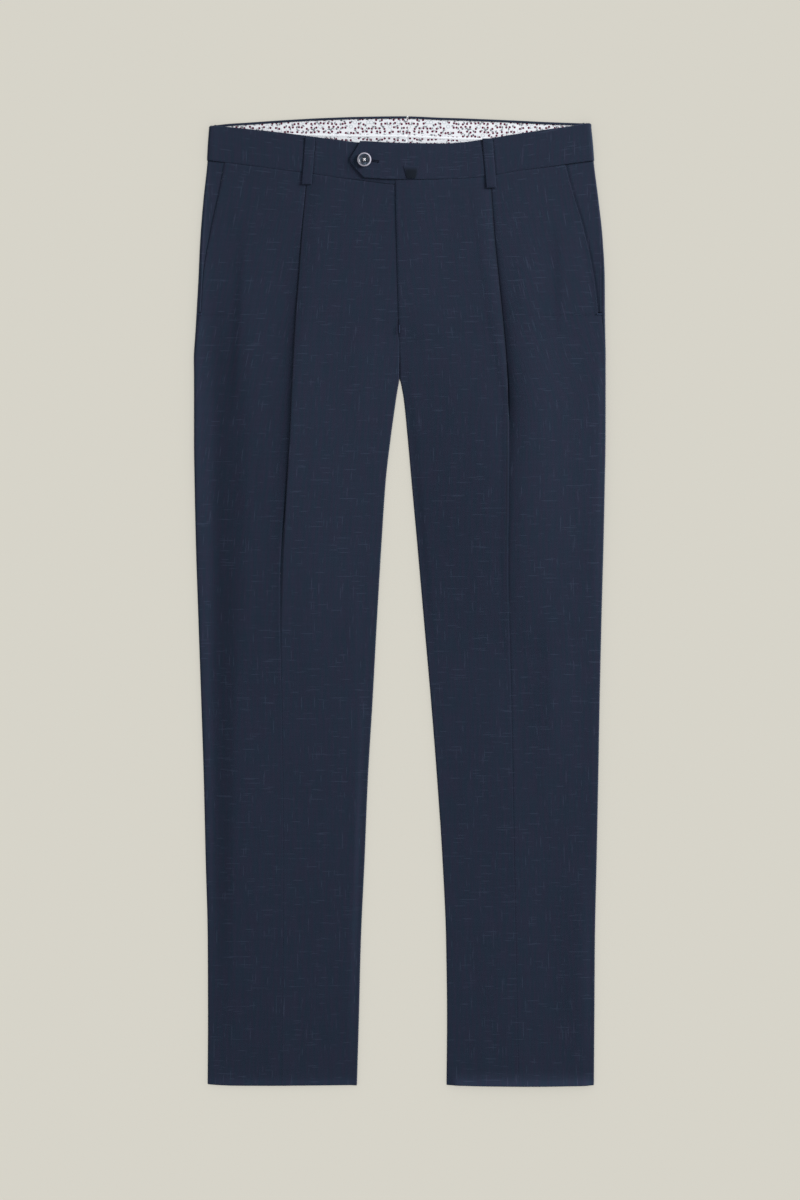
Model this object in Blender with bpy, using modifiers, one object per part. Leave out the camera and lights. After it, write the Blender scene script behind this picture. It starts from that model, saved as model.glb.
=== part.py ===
"""Pleated dress trousers lying flat on their back, waist towards +Y and front upwards.

Every cloth piece is a wall of even thickness round a middle surface. The pieces lie in
layers of one height: level(0) is the back, on the floor, and level(3) is the front
waistband. A section across a leg is drawn in two coordinates: `out`, the distance from the
centre line towards the side seam, and z. SIDES turns `out` into x. All sizes are in
millimetres and become metres in cloth() and solid().
"""

import math

import bmesh
import bpy
import numpy as np
from mathutils import Vector

MM = 0.001

# Cloth and layers.
WALL = 1.0
GAP = 0.3
LAYER = WALL + GAP
SEAM = GAP / 2
TURNED_SEAM = 0.25

# Lengths of the garment, from the waist seam down.
WAIST_ROW = 480.0
WAIST_EASE = 410.0
BARTACK_TOP = 330.0
BARTACK_END = 306.0
FLY_SETTLED = 290.0
POCKET_END = 322.6
POCKET_RUNOUT = 12.0
CROTCH_CURL = 279.0
CROTCH = 247.6
HEM = -542.4

# Fly, pocket and waist details.
FLY_LAP = 10.0
FLY_RAISE = (28.0, 14.0)
WAISTBAND_LAP = 12.0
TAB_POINT = 56.5
TAB_CORNERS = (43.0, 40.5)
FACING_LAP = 12.0
POCKET_FLAT = 14.0
RISE = 1.6
ROLL_DEPTH = 2.0
ROLL_EDGE = 0.3
ROLL_FADE = (209.0, 198.0)
LINING_END = 196.0
RIDGE_DROP = 4.5
CURTAIN_DEPTH = 26.0
LOOP_WIDTH = 11.0
LOOP_FOLD = 5.0
LOOP_AIR = 0.4
KEEPER_WIDTHS = (9.5, 18.0)
KEEPER_HEIGHT = 14.0
KEEPER_OUT = 13.0
BUTTON_RADIUS = 7.75
BUTTON_THICK = 2.8
BUTTON_RIM = 0.9
BUTTON_HOLE = 0.9
BUTTON_HOLE_OFFSET = 1.6
BUTTON_OUT = 39.5
BUTTON_Y = 494.0

# The wearer's right lies at -X.
SIDES = {"right": -1.0, "left": 1.0}

# Outline of each leg: height, how far out its inner edge and its side edge lie, and how far
# the side seam sits up and over from the middle of the side fold.
LEG_COLUMNS = ("y", "inner_right", "side_right", "over_right", "inner_left", "side_left", "over_left")
LEG_SECTIONS = (
    (530.0, 0.0, 212.4, 0.0, 0.0, 213.6, 0.0),
    (494.0, 0.0, 214.4, 0.0, 0.0, 217.4, 0.0),
    (449.0, 0.0, 219.2, 0.5, 0.0, 222.4, 0.5),
    (404.0, 0.0, 223.2, 1.5, 0.0, 227.1, 2.0),
    (360.0, 0.0, 225.4, 3.0, 0.0, 229.2, 4.5),
    (315.0, 0.0, 227.8, 3.6, 0.0, 229.6, 5.0),
    (270.0, 0.0, 230.6, 3.0, 0.0, 230.6, 4.0),
    (248.0, 0.0, 230.3, 2.0, 0.0, 230.6, 2.5),
    (225.0, 3.9, 230.0, 1.0, 4.6, 230.4, 1.0),
    (180.0, 10.1, 229.9, 0.0, 9.1, 230.1, 0.0),
    (136.0, 15.2, 229.3, 0.0, 13.0, 229.3, 0.0),
    (68.0, 19.8, 227.9, 0.0, 19.2, 227.9, 0.0),
    (-21.0, 25.1, 225.0, 0.0, 27.0, 225.6, 0.0),
    (-111.0, 30.0, 221.8, 0.0, 34.9, 223.7, 0.0),
    (-200.0, 35.3, 219.0, 0.0, 41.9, 222.0, 0.0),
    (-290.0, 39.0, 216.8, 0.0, 47.9, 220.2, 0.0),
    (-380.0, 43.1, 214.6, 0.0, 51.9, 218.6, 0.0),
    (-469.0, 45.4, 214.3, 0.0, 53.0, 217.7, 0.0),
    (HEM, 47.6, 214.8, 0.0, 52.4, 217.2, 0.0),
)

# Each pleat and the crease it runs into: height, how far out the fold edge lies on each leg,
# how deep the cloth is folded under, how far it turns, and the height of the fold's top.
PLEAT_COLUMNS = ("y", "out_right", "out_left", "depth", "turn", "top")
PLEAT_SECTIONS = (
    (WAIST_ROW, 103.0, 101.5, 20.0, 180.0, 4.4),
    (446.0, 106.2, 104.8, 19.0, 180.0, 4.4),
    (360.0, 113.0, 112.2, 14.0, 180.0, 4.4),
    (270.0, 119.3, 121.0, 7.5, 180.0, 4.4),
    (203.0, 123.0, 122.8, 2.6, 180.0, 4.4),
    (180.0, 124.2, 123.9, 0.9, 176.0, 4.4),
    (136.0, 126.8, 123.9, 0.3, 112.0, 5.0),
    (100.0, 129.4, 123.4, 0.3, 66.0, 4.9),
    (68.0, 131.2, 122.8, 0.3, 40.0, 4.6),
    (-21.0, 131.0, 121.9, 0.3, 16.0, 4.3),
    (-111.0, 130.9, 124.4, 0.3, 8.0, 4.1),
    (-290.0, 128.5, 124.7, 0.3, 8.0, 4.0),
    (HEM, 131.5, 130.5, 0.3, 8.0, 3.9),
)

# Centre line at the top: where the fly's edge and the centre back seam lie, in x.
CENTRE_COLUMNS = ("y", "fly_edge", "centre_back")
CENTRE_SECTIONS = (
    (545.0, -4.8, 9.2),
    (WAIST_ROW, -4.6, 8.4),
    (377.5, -2.6, 5.5),
    (323.7, -1.2, 3.5),
    (308.0, -0.6, 2.5),
    (270.0, -0.2, 0.8),
    (CROTCH, 0.0, 0.0),
)

# Waistband: distance out (negative past the centre line), heights of the front's seam and top
# edge on each side, of the back's seam, and of the back's top edge on each side.
WAIST_COLUMNS = (
    "out",
    "seam_right",
    "top_right",
    "seam_left",
    "top_left",
    "back_seam",
    "back_right",
    "back_left",
)
WAIST_SECTIONS = (
    (-60.0, 465.0, 508.0, 475.6, 516.6, 502.0, 543.2, 543.4),
    (0.0, 466.5, 511.0, 472.1, 513.1, 502.0, 543.2, 543.4),
    (50.0, 472.1, 513.8, 472.6, 512.5, 500.8, 542.0, 541.2),
    (90.0, 477.6, 518.8, 474.8, 516.5, 499.3, 540.8, 539.7),
    (130.0, 482.8, 526.0, 481.5, 523.0, 497.3, 538.4, 537.9),
    (170.0, 488.2, 529.4, 486.7, 528.7, 495.4, 535.7, 536.2),
    (213.0, 493.6, 531.5, 493.0, 534.4, 493.3, 531.5, 534.8),
)

# Slanted pocket edge: height, and how far out it lies on each leg.
POCKET_COLUMNS = ("y", "out_right", "out_left")
POCKET_SECTIONS = (
    (495.0, 196.0, 184.0),
    (480.5, 198.1, 187.0),
    (412.2, 213.4, 209.0),
    (365.5, 219.8, 218.4),
    (POCKET_END, 222.6, 222.4),
)

# Top line of the curtain, where it is folded over the printed lining: x and height.
RIDGE_COLUMNS = ("x", "height")
RIDGE_SECTIONS = (
    (-213.0, 527.0),
    (-67.0, 523.0),
    (0.0, 522.3),
    (90.0, 519.0),
    (213.0, 525.0),
)

# Belt loops: side, how far out the top and the bottom lie, and their heights.
BELT_LOOPS = (
    ("right", 100.0, 104.0, 519.6, 466.6),
    ("left", 98.2, 103.0, 517.8, 462.8),
)

# Soft troughs and ridges in the front: side, both ends (out, y), half width, height.
FOLD_COLUMNS = ("side", "out_a", "y_a", "out_b", "y_b", "half", "height")
FOLDS = (
    ("right", 168.0, 440.0, 180.0, 260.0, 15.0, -0.7),
    ("right", 196.0, 330.0, 200.0, -60.0, 16.0, -0.8),
    ("right", 158.0, 230.0, 162.0, -110.0, 18.0, 0.8),
    ("right", 60.0, 200.0, 78.0, -330.0, 20.0, -0.6),
    ("left", 178.0, 420.0, 184.0, 270.0, 14.0, -0.7),
    ("left", 172.0, 260.0, 168.0, -60.0, 18.0, 0.8),
    ("left", 200.0, 180.0, 196.0, -230.0, 15.0, -0.7),
    ("left", 62.0, 190.0, 84.0, -300.0, 20.0, -0.6),
)

# Colours as sRGB hex.
NAVY = "#2b3040"
NAVY_DARK = "#1f242f"
LINING_WHITE = "#eeeef2"
BUTTON_BLUE = "#3b4258"

# Heights of the rows across a leg's panels, from the waist down.
ROWS = (
    WAIST_ROW,
    462.0,
    446.0,
    WAIST_EASE,
    360.0,
    BARTACK_TOP,
    POCKET_END,
    POCKET_END - POCKET_RUNOUT,
    BARTACK_END,
    FLY_SETTLED,
    CROTCH_CURL,
    262.0,
    CROTCH,
    236.0,
    203.0,
    180.0,
    136.0,
    100.0,
    68.0,
    20.0,
    -21.0,
    -111.0,
    -200.0,
    -290.0,
    -380.0,
    -469.0,
    HEM,
)
FACING_ROWS = (WAIST_ROW, 462.0, 446.0, WAIST_EASE, 360.0, BARTACK_TOP, POCKET_END)


def level(count):
    """Height of the middle of a wall that lies on `count` others."""
    return WALL / 2 + count * LAYER


BACK = level(0)
SIDE_TOP = level(2)
FRONT = level(3)


def read(rows, columns, name, at):
    """The column's value at `at` in the first column, between the rows on either side."""
    table = sorted(rows)
    keys = [row[0] for row in table]
    values = [row[columns.index(name)] for row in table]
    return float(np.interp(at, keys, values))


def leg(name, y):
    return read(LEG_SECTIONS, LEG_COLUMNS, name, y)


def pleat(name, y):
    return read(PLEAT_SECTIONS, PLEAT_COLUMNS, name, y)


def centre(name, y):
    return read(CENTRE_SECTIONS, CENTRE_COLUMNS, name, y)


def waist(name, out):
    return read(WAIST_SECTIONS, WAIST_COLUMNS, name, out)


def pocket(side, y):
    return read(POCKET_SECTIONS, POCKET_COLUMNS, "out_" + side, y)


def ease(start, end, value):
    """0 at start, 1 at end, smooth between."""
    t = min(1.0, max(0.0, (value - start) / (end - start)))
    return t * t * (3.0 - 2.0 * t)


def mix(a, b, t):
    return a + (b - a) * t


def steps(a, b, count):
    """`count` points after a, up to b."""
    return [mix(a, b, (i + 1) / count) for i in range(count)]


def side_turn(arc, reach, top, sign=1.0):
    """(out, z) on the fold at a side: `arc` runs over it, from 0 at half height, up positive.

    `reach` is how far out the fold's outer face lies, `top` the height of the upper wall.
    """
    radius = (top - BACK) / 2
    quarter = math.pi / 2 * radius
    middle = reach - sign * (radius + WALL / 2)
    if abs(arc) > quarter:
        return middle - sign * (abs(arc) - quarter), top if arc > 0 else BACK
    angle = arc / radius
    return middle + sign * radius * math.cos(angle), (top + BACK) / 2 + radius * math.sin(angle)


def quarter_arc(top):
    return math.pi / 4 * (top - BACK)


def fly_edge(side, y):
    """How far out a front's centre edge lies. The right one runs under the left one above the
    bar tack; below it they only meet.
    """
    if side == "left":
        return centre("fly_edge", y) + SEAM
    lap = FLY_LAP * min(1.0, max(0.0, (y - BARTACK_END) / (BARTACK_TOP - BARTACK_END)))
    return SEAM - centre("fly_edge", y) - lap


def fly_raise(x, y):
    """The left front's rise over the right one, along the fly and the waistband's tab."""
    return LAYER * ease(*FLY_RAISE, x) * ease(FLY_SETTLED, BARTACK_END, y)


def relief(side, out, y, inner, outer):
    """Height that the soft troughs and ridges add to the front at a point."""
    total = 0.0
    for row in FOLDS:
        fold = dict(zip(FOLD_COLUMNS, row))
        if fold["side"] != side:
            continue
        along = (fold["y_a"] - y) / (fold["y_a"] - fold["y_b"])
        if not 0.0 < along < 1.0:
            continue
        away = (out - mix(fold["out_a"], fold["out_b"], along)) / fold["half"]
        total += fold["height"] * math.exp(-away * away) * math.sin(math.pi * along)
    return total * ease(inner + 4.0, inner + 20.0, out) * ease(outer - 4.0, outer - 20.0, out)


def row_height(y, seam):
    """Height of a panel's row where the waist seam lies at `seam`: level rows below the hip."""
    share = min(1.0, max(0.0, (y - WAIST_EASE) / (WAIST_ROW - WAIST_EASE)))
    return y + (seam - SEAM - WAIST_ROW) * share


def crotch_curl(y):
    """0 where panels meet flat on the centre line, 1 where they turn over the inside leg."""
    return min(1.0, max(0.0, (CROTCH_CURL - y) / (CROTCH_CURL - CROTCH)))


def inner_edge(side, y, flat_edge, flat_z, arcs):
    """Points of a panel's inner edge: flat on the centre line above, over the inseam below."""
    curl = crotch_curl(y)
    reach = leg("inner_" + side, y) + SEAM
    points = []
    for arc in arcs:
        turned = side_turn(arc, reach, SIDE_TOP, sign=-1.0)
        flat = (flat_edge + abs(arc) - TURNED_SEAM, flat_z)
        points.append((mix(flat[0], turned[0], curl), mix(flat[1], turned[1], curl)))
    return points


def turned_arcs(edge):
    """Places round a side fold, from a piece's edge to just past where the fold ends."""
    quarter = quarter_arc(SIDE_TOP)
    end = max(quarter, edge) + 1.0
    return [edge] + [mix(edge, end, share) for share in (0.15, 0.5, 1.0)]


def fold_under(out, depth, turn, top):
    """The pleat's points, from the top layer over the fold, back under it and out again."""
    turn = math.radians(turn)
    radius = math.pi * LAYER / 2 / turn
    start = out - radius * math.sin(min(turn, math.pi / 2))
    points = [(start, top)]
    for angle in steps(0.0, turn, 4):
        points.append((start + radius * math.sin(angle), top - radius * (1 - math.cos(angle))))
    first = points[-1]
    back = (first[0] + depth * math.cos(turn), first[1] - depth * math.sin(turn))
    points.append((mix(first[0], back[0], 0.5), mix(first[1], back[1], 0.5)))
    points.append(back)
    for angle in steps(turn, 0.0, 4):
        points.append(
            (
                back[0] + radius * (math.sin(turn) - math.sin(angle)),
                back[1] - radius * (math.cos(angle) - math.cos(turn)),
            )
        )
    return points


def front_section(side, y):
    """(out, z) across a front panel at a height, from the fly or inseam to the side."""
    flat_z = mix(SIDE_TOP, FRONT, ease(FLY_SETTLED, BARTACK_TOP, y))
    points = inner_edge(side, y, fly_edge(side, y), flat_z, turned_arcs(TURNED_SEAM))

    fold = fold_under(*(pleat(name, y) for name in ("out_" + side, "depth", "turn", "top")))
    over = min(point[0] for point in fold) - 1.0
    under = max(point[0] for point in fold) + 1.0
    top, bottom = fold[0][1], fold[-1][1]
    begin, begin_z = points[-1]
    inner = leg("inner_" + side, y)
    marks = [inner + mark for mark in sorted(FLY_RAISE)]
    for out in marks + steps(marks[-1], over, 4):
        share = (out - begin) / (over - begin)
        points.append((out, mix(begin_z, top, share**RISE)))
    points += [(mix(over, fold[0][0], 0.5), top)] + fold
    points += [(mix(fold[-1][0], under, 0.5), bottom), (under, bottom)]

    on_pocket = y > POCKET_END - POCKET_RUNOUT / 2
    shift = leg("over_" + side, y)
    arcs = turned_arcs(shift + TURNED_SEAM)[::-1]
    if on_pocket:
        edge = pocket(side, y)
        outer = [(edge - (arc - arcs[-1]), FRONT) for arc in arcs]
    else:
        outer = [side_turn(arc, leg("side_" + side, y), SIDE_TOP) for arc in arcs]
    end, end_z = outer[0]
    flat = end - (POCKET_FLAT if on_pocket else 0.0)
    for out in steps(under, end, 6)[:-1]:
        share = max(0.0, (flat - out) / (flat - under))
        points.append((out, mix(end_z, bottom, share**RISE)))
    return points + outer


def place_front(side):
    sign = SIDES[side]
    sections = [front_section(side, y) for y in ROWS]

    def place(column, row):
        out, z = sections[row][column]
        y = row_height(ROWS[row], waist("seam_" + side, out))
        z += relief(side, out, y, sections[row][0][0], sections[row][-1][0])
        if side == "left":
            z += fly_raise(out, ROWS[row])
        return sign * out, y, z

    return place, len(sections[0]), len(ROWS)


def place_back(side):
    """The back lies flat on the floor, and its edges turn up at the side and the inseam."""
    sign = SIDES[side]
    sections = []
    for y in ROWS:
        flat_edge = sign * centre("centre_back", y) + SEAM
        inseam = [-arc for arc in turned_arcs(TURNED_SEAM)]
        points = inner_edge(side, y, flat_edge, BACK, inseam)
        over = leg("over_" + side, y) - TURNED_SEAM
        arcs = [inseam[-1]] + [mix(inseam[-1], over, share) for share in (0.3, 0.5, 0.7, 0.95, 1.0)]
        actual = row_height(y, waist("back_seam", 213.0))
        turned = [side_turn(arc, leg("side_" + side, actual), SIDE_TOP) for arc in arcs]
        points += [(out, BACK) for out in steps(points[-1][0], turned[0][0], 4)[:-1]]
        sections.append(points + turned)

    def place(column, row):
        out, z = sections[row][column]
        return sign * out, row_height(ROWS[row], waist("back_seam", out)), z

    return place, len(sections[0]), len(ROWS)


def place_facing(side):
    """The pocket's facing: under the front's slanted edge, and out to the side seam."""
    sign = SIDES[side]
    sections = []
    for y in FACING_ROWS:
        shift = leg("over_" + side, y)
        arcs = turned_arcs(shift + TURNED_SEAM)[::-1]
        actual = row_height(y, waist("seam_" + side, 213.0))
        turned = [side_turn(arc, leg("side_" + side, actual), SIDE_TOP) for arc in arcs]
        begin = pocket(side, y) - FACING_LAP
        points = [(begin, SIDE_TOP)]
        points += [(out, SIDE_TOP) for out in steps(begin, turned[0][0], 4)[:-1]]
        sections.append(points + turned)

    def place(column, row):
        out, z = sections[row][column]
        y = row_height(FACING_ROWS[row], waist("seam_" + side, out))
        return sign * out, max(y, POCKET_END + GAP), z

    return place, len(sections[0]), len(FACING_ROWS)


def waistband_path(side):
    """(out, z, share of front) along a waistband, from the centre back to its front end."""
    sign = SIDES[side]
    reach = leg("side_" + side, 512.0)
    start = sign * centre("centre_back", 523.0) + SEAM
    half = math.pi / 2 * (FRONT - BACK) / 2
    middle = reach - (FRONT - BACK) / 2 - WALL / 2
    outs = [start] + steps(start, 170.0, 5) + [186.0, 198.0, 204.0, middle]
    path = [(out, BACK, 0.0) for out in outs]
    for arc in steps(-half, half, 6):
        out, z = side_turn(arc, reach, FRONT)
        path.append((out, z, (arc + half) / (2 * half)))
    for out in (180.0, 150.0, 120.0, 95.0, 70.0, 50.0):
        path.append((out, FRONT, 1.0))
    if side == "right":
        return path + [(out, FRONT, 1.0) for out in (30.0, 10.0, -WAISTBAND_LAP)]
    for out in (FLY_RAISE[0], 21.0, FLY_RAISE[1], 0.0, -20.0, -TAB_CORNERS[0]):
        path.append((out, FRONT + LAYER * ease(*FLY_RAISE, out), 1.0))
    return path + [(-TAB_POINT, level(4), 1.0)]


def place_waistband(side):
    """A half of the waistband; at the back its top edge is rolled over to the inside."""
    sign = SIDES[side]
    path = waistband_path(side)
    heights = (0.0, 0.25, 0.5, 0.75)
    bends = (0.0, 0.25, 0.5, 0.75, 1.0)

    def place(column, row):
        out, z, front = path[column]
        base = mix(waist("back_seam", out), waist("seam_" + side, out), front) + SEAM
        crest = mix(waist("back_" + side, out), waist("top_" + side, out), front)
        rolled = ease(*ROLL_FADE, out) if front == 0.0 else 0.0
        edge = rolled_edge(crest, rolled, bends)
        points = [(mix(base, edge[0][0], share), 0.0) for share in heights] + edge
        y, lift = points[row]
        if out < -TAB_CORNERS[1] and side == "left":
            out = tab_end(column == len(path) - 1, (y - base) / (crest - base))
        return sign * out, y, z + lift

    return place, len(path), len(heights) + len(bends) + 1


def rolled_edge(crest, rolled, bends):
    """(y, lift) over the waistband's top edge: straight where rolled is 0, turned over at 1."""
    depth = mix(ROLL_EDGE, ROLL_DEPTH, rolled)
    length = math.pi * LAYER / 2
    if rolled == 0.0:
        return [(crest - depth - length * (1.0 - bend), 0.0) for bend in bends] + [(crest, 0.0)]
    turn = math.pi * rolled
    radius = length / turn
    reach = radius + WALL / 2
    if turn < math.pi / 2:
        reach = radius * math.sin(turn) + depth * math.cos(turn)
    points = []
    for bend in bends:
        angle = turn * bend
        points.append((crest - reach + radius * math.sin(angle), radius * (1 - math.cos(angle))))
    y, lift = points[-1]
    return points + [(y + depth * math.cos(turn), lift + depth * math.sin(turn))]


def tab_end(last, share):
    """How far out the tab's end lies: two corners, and a point half way between them."""
    corner = mix(-TAB_CORNERS[1], -TAB_CORNERS[0], share)
    if not last:
        return corner
    return mix(corner - 1.5, -TAB_POINT, 1.0 - abs(share - 0.5) / 0.5)


def place_lining(side):
    """The printed strip inside the back waistband, below its rolled edge."""
    sign = SIDES[side]
    start = sign * centre("centre_back", 530.0) + SEAM
    outs = [start] + steps(start, LINING_END, 8)

    def place(column, row):
        out = outs[column]
        rolled = ease(*ROLL_FADE, out)
        top = waist("back_" + side, out) - WALL / 2 - LAYER / 2 - ROLL_DEPTH * rolled - GAP
        bottom = read(RIDGE_SECTIONS, RIDGE_COLUMNS, "height", sign * out) - RIDGE_DROP
        return sign * out, mix(bottom, top, row / 2), level(1)

    return place, len(outs), 3


def place_curtain(side):
    """The lining's lower strip, folded over the lower edge of the printed one."""
    sign = SIDES[side]
    start = sign * centre("centre_back", 520.0) + SEAM
    outs = [start] + steps(start, LINING_END - 4.0, 8)

    def place(column, row):
        top = read(RIDGE_SECTIONS, RIDGE_COLUMNS, "height", sign * outs[column])
        return sign * outs[column], mix(top - CURTAIN_DEPTH, top, row / 3), level(2)

    return place, len(outs), 4


def place_belt_loop(side, top_out, bottom_out, top, bottom):
    """A strip over the waistband, with both ends folded under where they are sewn."""
    sign = SIDES[side]
    low = FRONT + LAYER
    high = low + LAYER + LOOP_AIR
    bend = (high - low) / 2
    profile = [(bottom + LOOP_FOLD, low), (bottom + bend, low)]
    for angle in (45.0, 90.0, 135.0):
        turn = math.radians(angle)
        profile.append((bottom + bend - bend * math.sin(turn), low + bend - bend * math.cos(turn)))
    profile += [(bottom + bend, high), (mix(bottom, top, 0.5), high), (top - bend, high)]
    for angle in (45.0, 90.0, 135.0):
        turn = math.radians(angle)
        profile.append((top - bend + bend * math.sin(turn), low + bend + bend * math.cos(turn)))
    profile += [(top - bend, low), (top - LOOP_FOLD, low)]

    def place(column, row):
        y, z = profile[row]
        middle = mix(bottom_out, top_out, (y - bottom) / (top - bottom))
        return sign * (middle + LOOP_WIDTH * (column / 2 - 0.5)), y, z

    return place, 3, len(profile)


def place_keeper():
    """A small loop for the belt's prong, flat on the left waistband above the fly."""
    base = waist("seam_left", KEEPER_OUT) + 1.0

    def place(column, row):
        half = mix(*KEEPER_WIDTHS, row / 4) / 2
        out = KEEPER_OUT + half * (column / 2 - 1)
        carried = FRONT + LAYER * ease(*FLY_RAISE, out)
        return out, base + KEEPER_HEIGHT * row / 4, carried + LAYER

    return place, 5, 5


def linear(channel):
    return channel / 12.92 if channel <= 0.04045 else ((channel + 0.055) / 1.055) ** 2.4


def material(name, colour, roughness):
    made = bpy.data.materials.new(name)
    made.use_nodes = True
    values = [linear(int(colour[i : i + 2], 16) / 255) for i in (1, 3, 5)]
    shader = made.node_tree.nodes["Principled BSDF"]
    shader.inputs["Base Color"].default_value = (*values, 1.0)
    shader.inputs["Roughness"].default_value = roughness
    return made


def solid(name, mesh, collection, look):
    mesh.materials.append(look)
    made = bpy.data.objects.new(name, mesh)
    collection.objects.link(made)
    return made


def cloth(name, collection, look, placed):
    """A closed wall round the middle surface that place(column, row) gives."""
    place, columns, rows = placed
    grid = bmesh.new()
    bmesh.ops.create_grid(grid, x_segments=columns - 1, y_segments=rows - 1, size=0.5)
    for vert in grid.verts:
        column = round((vert.co.x + 0.5) * (columns - 1))
        row = round((vert.co.y + 0.5) * (rows - 1))
        vert.co = Vector(place(column, row)) * MM
    mesh = bpy.data.meshes.new(name)
    grid.to_mesh(mesh)
    grid.free()
    mesh.shade_smooth()
    made = solid(name, mesh, collection, look)
    wall = made.modifiers.new("Wall", "SOLIDIFY")
    wall.thickness = WALL * MM
    wall.offset = 0.0
    wall.use_even_offset = True
    return made


def make_button(collection, cutters, look):
    """A turned button with a raised rim and four holes, lying on the tab."""
    base = level(4) + WALL / 2 + GAP
    centre_at = Vector((-BUTTON_OUT, BUTTON_Y, base)) * MM
    well = BUTTON_RADIUS - 2.4
    profile = (
        (0.0, BUTTON_THICK - BUTTON_RIM),
        (well, BUTTON_THICK - BUTTON_RIM),
        (well + 0.9, BUTTON_THICK),
        (BUTTON_RADIUS - 0.8, BUTTON_THICK),
        (BUTTON_RADIUS, BUTTON_THICK - 0.8),
        (BUTTON_RADIUS, 0.9),
        (BUTTON_RADIUS - 1.6, 0.0),
        (0.0, 0.0),
    )
    line = bmesh.new()
    points = [line.verts.new(Vector((out, 0.0, z)) * MM) for out, z in profile]
    for first, second in zip(points, points[1:]):
        line.edges.new((first, second))
    mesh = bpy.data.meshes.new("button")
    line.to_mesh(mesh)
    line.free()
    button = solid("button", mesh, collection, look)
    button.location = centre_at
    screw = button.modifiers.new("Turn", "SCREW")
    screw.steps = screw.render_steps = 32
    screw.use_merge_vertices = True
    screw.merge_threshold = 0.00001
    for number in range(4):
        angle = math.radians(45 + 90 * number)
        drill = bmesh.new()
        bmesh.ops.create_cone(
            drill,
            cap_ends=True,
            segments=10,
            radius1=BUTTON_HOLE * MM,
            radius2=BUTTON_HOLE * MM,
            depth=3 * BUTTON_THICK * MM,
        )
        drill_mesh = bpy.data.meshes.new(f"drill_{number}")
        drill.to_mesh(drill_mesh)
        drill.free()
        cutter = bpy.data.objects.new(f"drill_{number}", drill_mesh)
        across = BUTTON_HOLE_OFFSET * MM
        offset = Vector((math.cos(angle) * across, math.sin(angle) * across, 0.0))
        cutter.location = centre_at + offset
        cutter.hide_render = True
        cutter.display_type = "WIRE"
        cutters.objects.link(cutter)
        cut = button.modifiers.new(f"Hole {number}", "BOOLEAN")
        cut.object = cutter
        cut.solver = "EXACT"
    return button


def main():
    for old in list(bpy.data.objects):
        bpy.data.objects.remove(old)
    parts = bpy.data.collections.new("pleated_dress_trousers")
    cutters = bpy.data.collections.new("cutters")
    for collection in (parts, cutters):
        bpy.context.scene.collection.children.link(collection)

    suiting = material("navy suiting", NAVY, 0.85)
    tape = material("keeper tape", NAVY_DARK, 0.8)
    printed = material("printed lining", LINING_WHITE, 0.7)
    horn = material("button", BUTTON_BLUE, 0.35)

    for side in SIDES:
        cloth("front_panel_" + side, parts, suiting, place_front(side))
        cloth("back_panel_" + side, parts, suiting, place_back(side))
        cloth("pocket_facing_" + side, parts, suiting, place_facing(side))
        cloth("waistband_" + side, parts, suiting, place_waistband(side))
        cloth("lining_" + side, parts, printed, place_lining(side))
        cloth("curtain_" + side, parts, printed, place_curtain(side))
    for side, *sizes in BELT_LOOPS:
        cloth("belt_loop_" + side, parts, suiting, place_belt_loop(side, *sizes))
    cloth("prong_keeper", parts, tape, place_keeper())
    make_button(parts, cutters, horn)


main()
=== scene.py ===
"""Pleated dress trousers lying flat on their back: the cloth, lining, sewing and button.

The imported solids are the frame. Every cloth here stands for one of them and keeps to the same
layers: level(0) is the back, on the floor, and level(3) is the front waistband. A section
across a leg is drawn in two coordinates: `out`, the distance from the centre line towards the
side seam, and z. SIDES turns `out` into x. Sizes are in millimetres, and MM turns them into
metres where a mesh, a material or a lamp is made.
"""

import math

import bmesh
import bpy
import numpy as np
from bpy.props import FloatProperty, FloatVectorProperty, IntProperty, PointerProperty
from mathutils import Matrix, Vector, noise


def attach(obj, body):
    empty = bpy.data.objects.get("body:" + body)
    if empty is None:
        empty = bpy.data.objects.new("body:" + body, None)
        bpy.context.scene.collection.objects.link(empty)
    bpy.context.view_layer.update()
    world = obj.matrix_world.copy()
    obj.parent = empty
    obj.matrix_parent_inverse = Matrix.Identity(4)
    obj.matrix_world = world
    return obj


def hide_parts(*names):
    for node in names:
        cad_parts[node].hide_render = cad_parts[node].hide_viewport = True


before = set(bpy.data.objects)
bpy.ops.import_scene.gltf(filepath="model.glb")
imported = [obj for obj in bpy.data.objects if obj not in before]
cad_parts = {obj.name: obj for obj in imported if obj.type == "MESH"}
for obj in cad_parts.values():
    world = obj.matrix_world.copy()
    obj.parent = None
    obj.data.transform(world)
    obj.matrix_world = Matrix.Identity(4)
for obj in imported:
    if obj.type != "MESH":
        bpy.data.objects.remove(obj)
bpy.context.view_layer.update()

bl_info = {
    "name": "Pleated Dress Trousers",
    "version": (1, 0, 0),
    "blender": (4, 5, 0),
    "location": "3D View > Sidebar > Trousers",
    "description": "Builds the cloth, lining, sewing and button of a pair of trousers laid flat",
    "category": "Object",
}

MM = 0.001
BODY = "root"

# Layers: the solids' own spacing, which the thinner cloth keeps.
LAYER = 1.3
FIRST_LEVEL = 0.5

# Heights (y) at which something starts or ends, from the waist seam down. A pair gives a start
# and an end.
WAIST_ROW = 480.0
WAIST_EASE = 410.0
BARTACK_TOP = 330.0
BARTACK_END = 306.0
FLY_SETTLED = 290.0
POCKET_END = 322.6
POCKET_RUNOUT = (319.2, 322.4)
POCKET_ROWS = (323.2, 322.4, 321.6, 320.8, 320.0, 319.2)
CROTCH_CURL = 279.0
CROTCH = 247.6
HEM = -542.4
HEM_EASE = -480.0
HEM_TURNED = 40.0
HEM_FLARE_FROM = (-528.0, -556.0)
LIP_TOP = (WAIST_ROW, 446.0)
LIP_FOOT = (-150.0, -21.0)
SIDE_RISE_FROM = (400.0, WAIST_ROW)
SIDE_ROUND_FROM = (300.0, 240.0)

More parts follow.
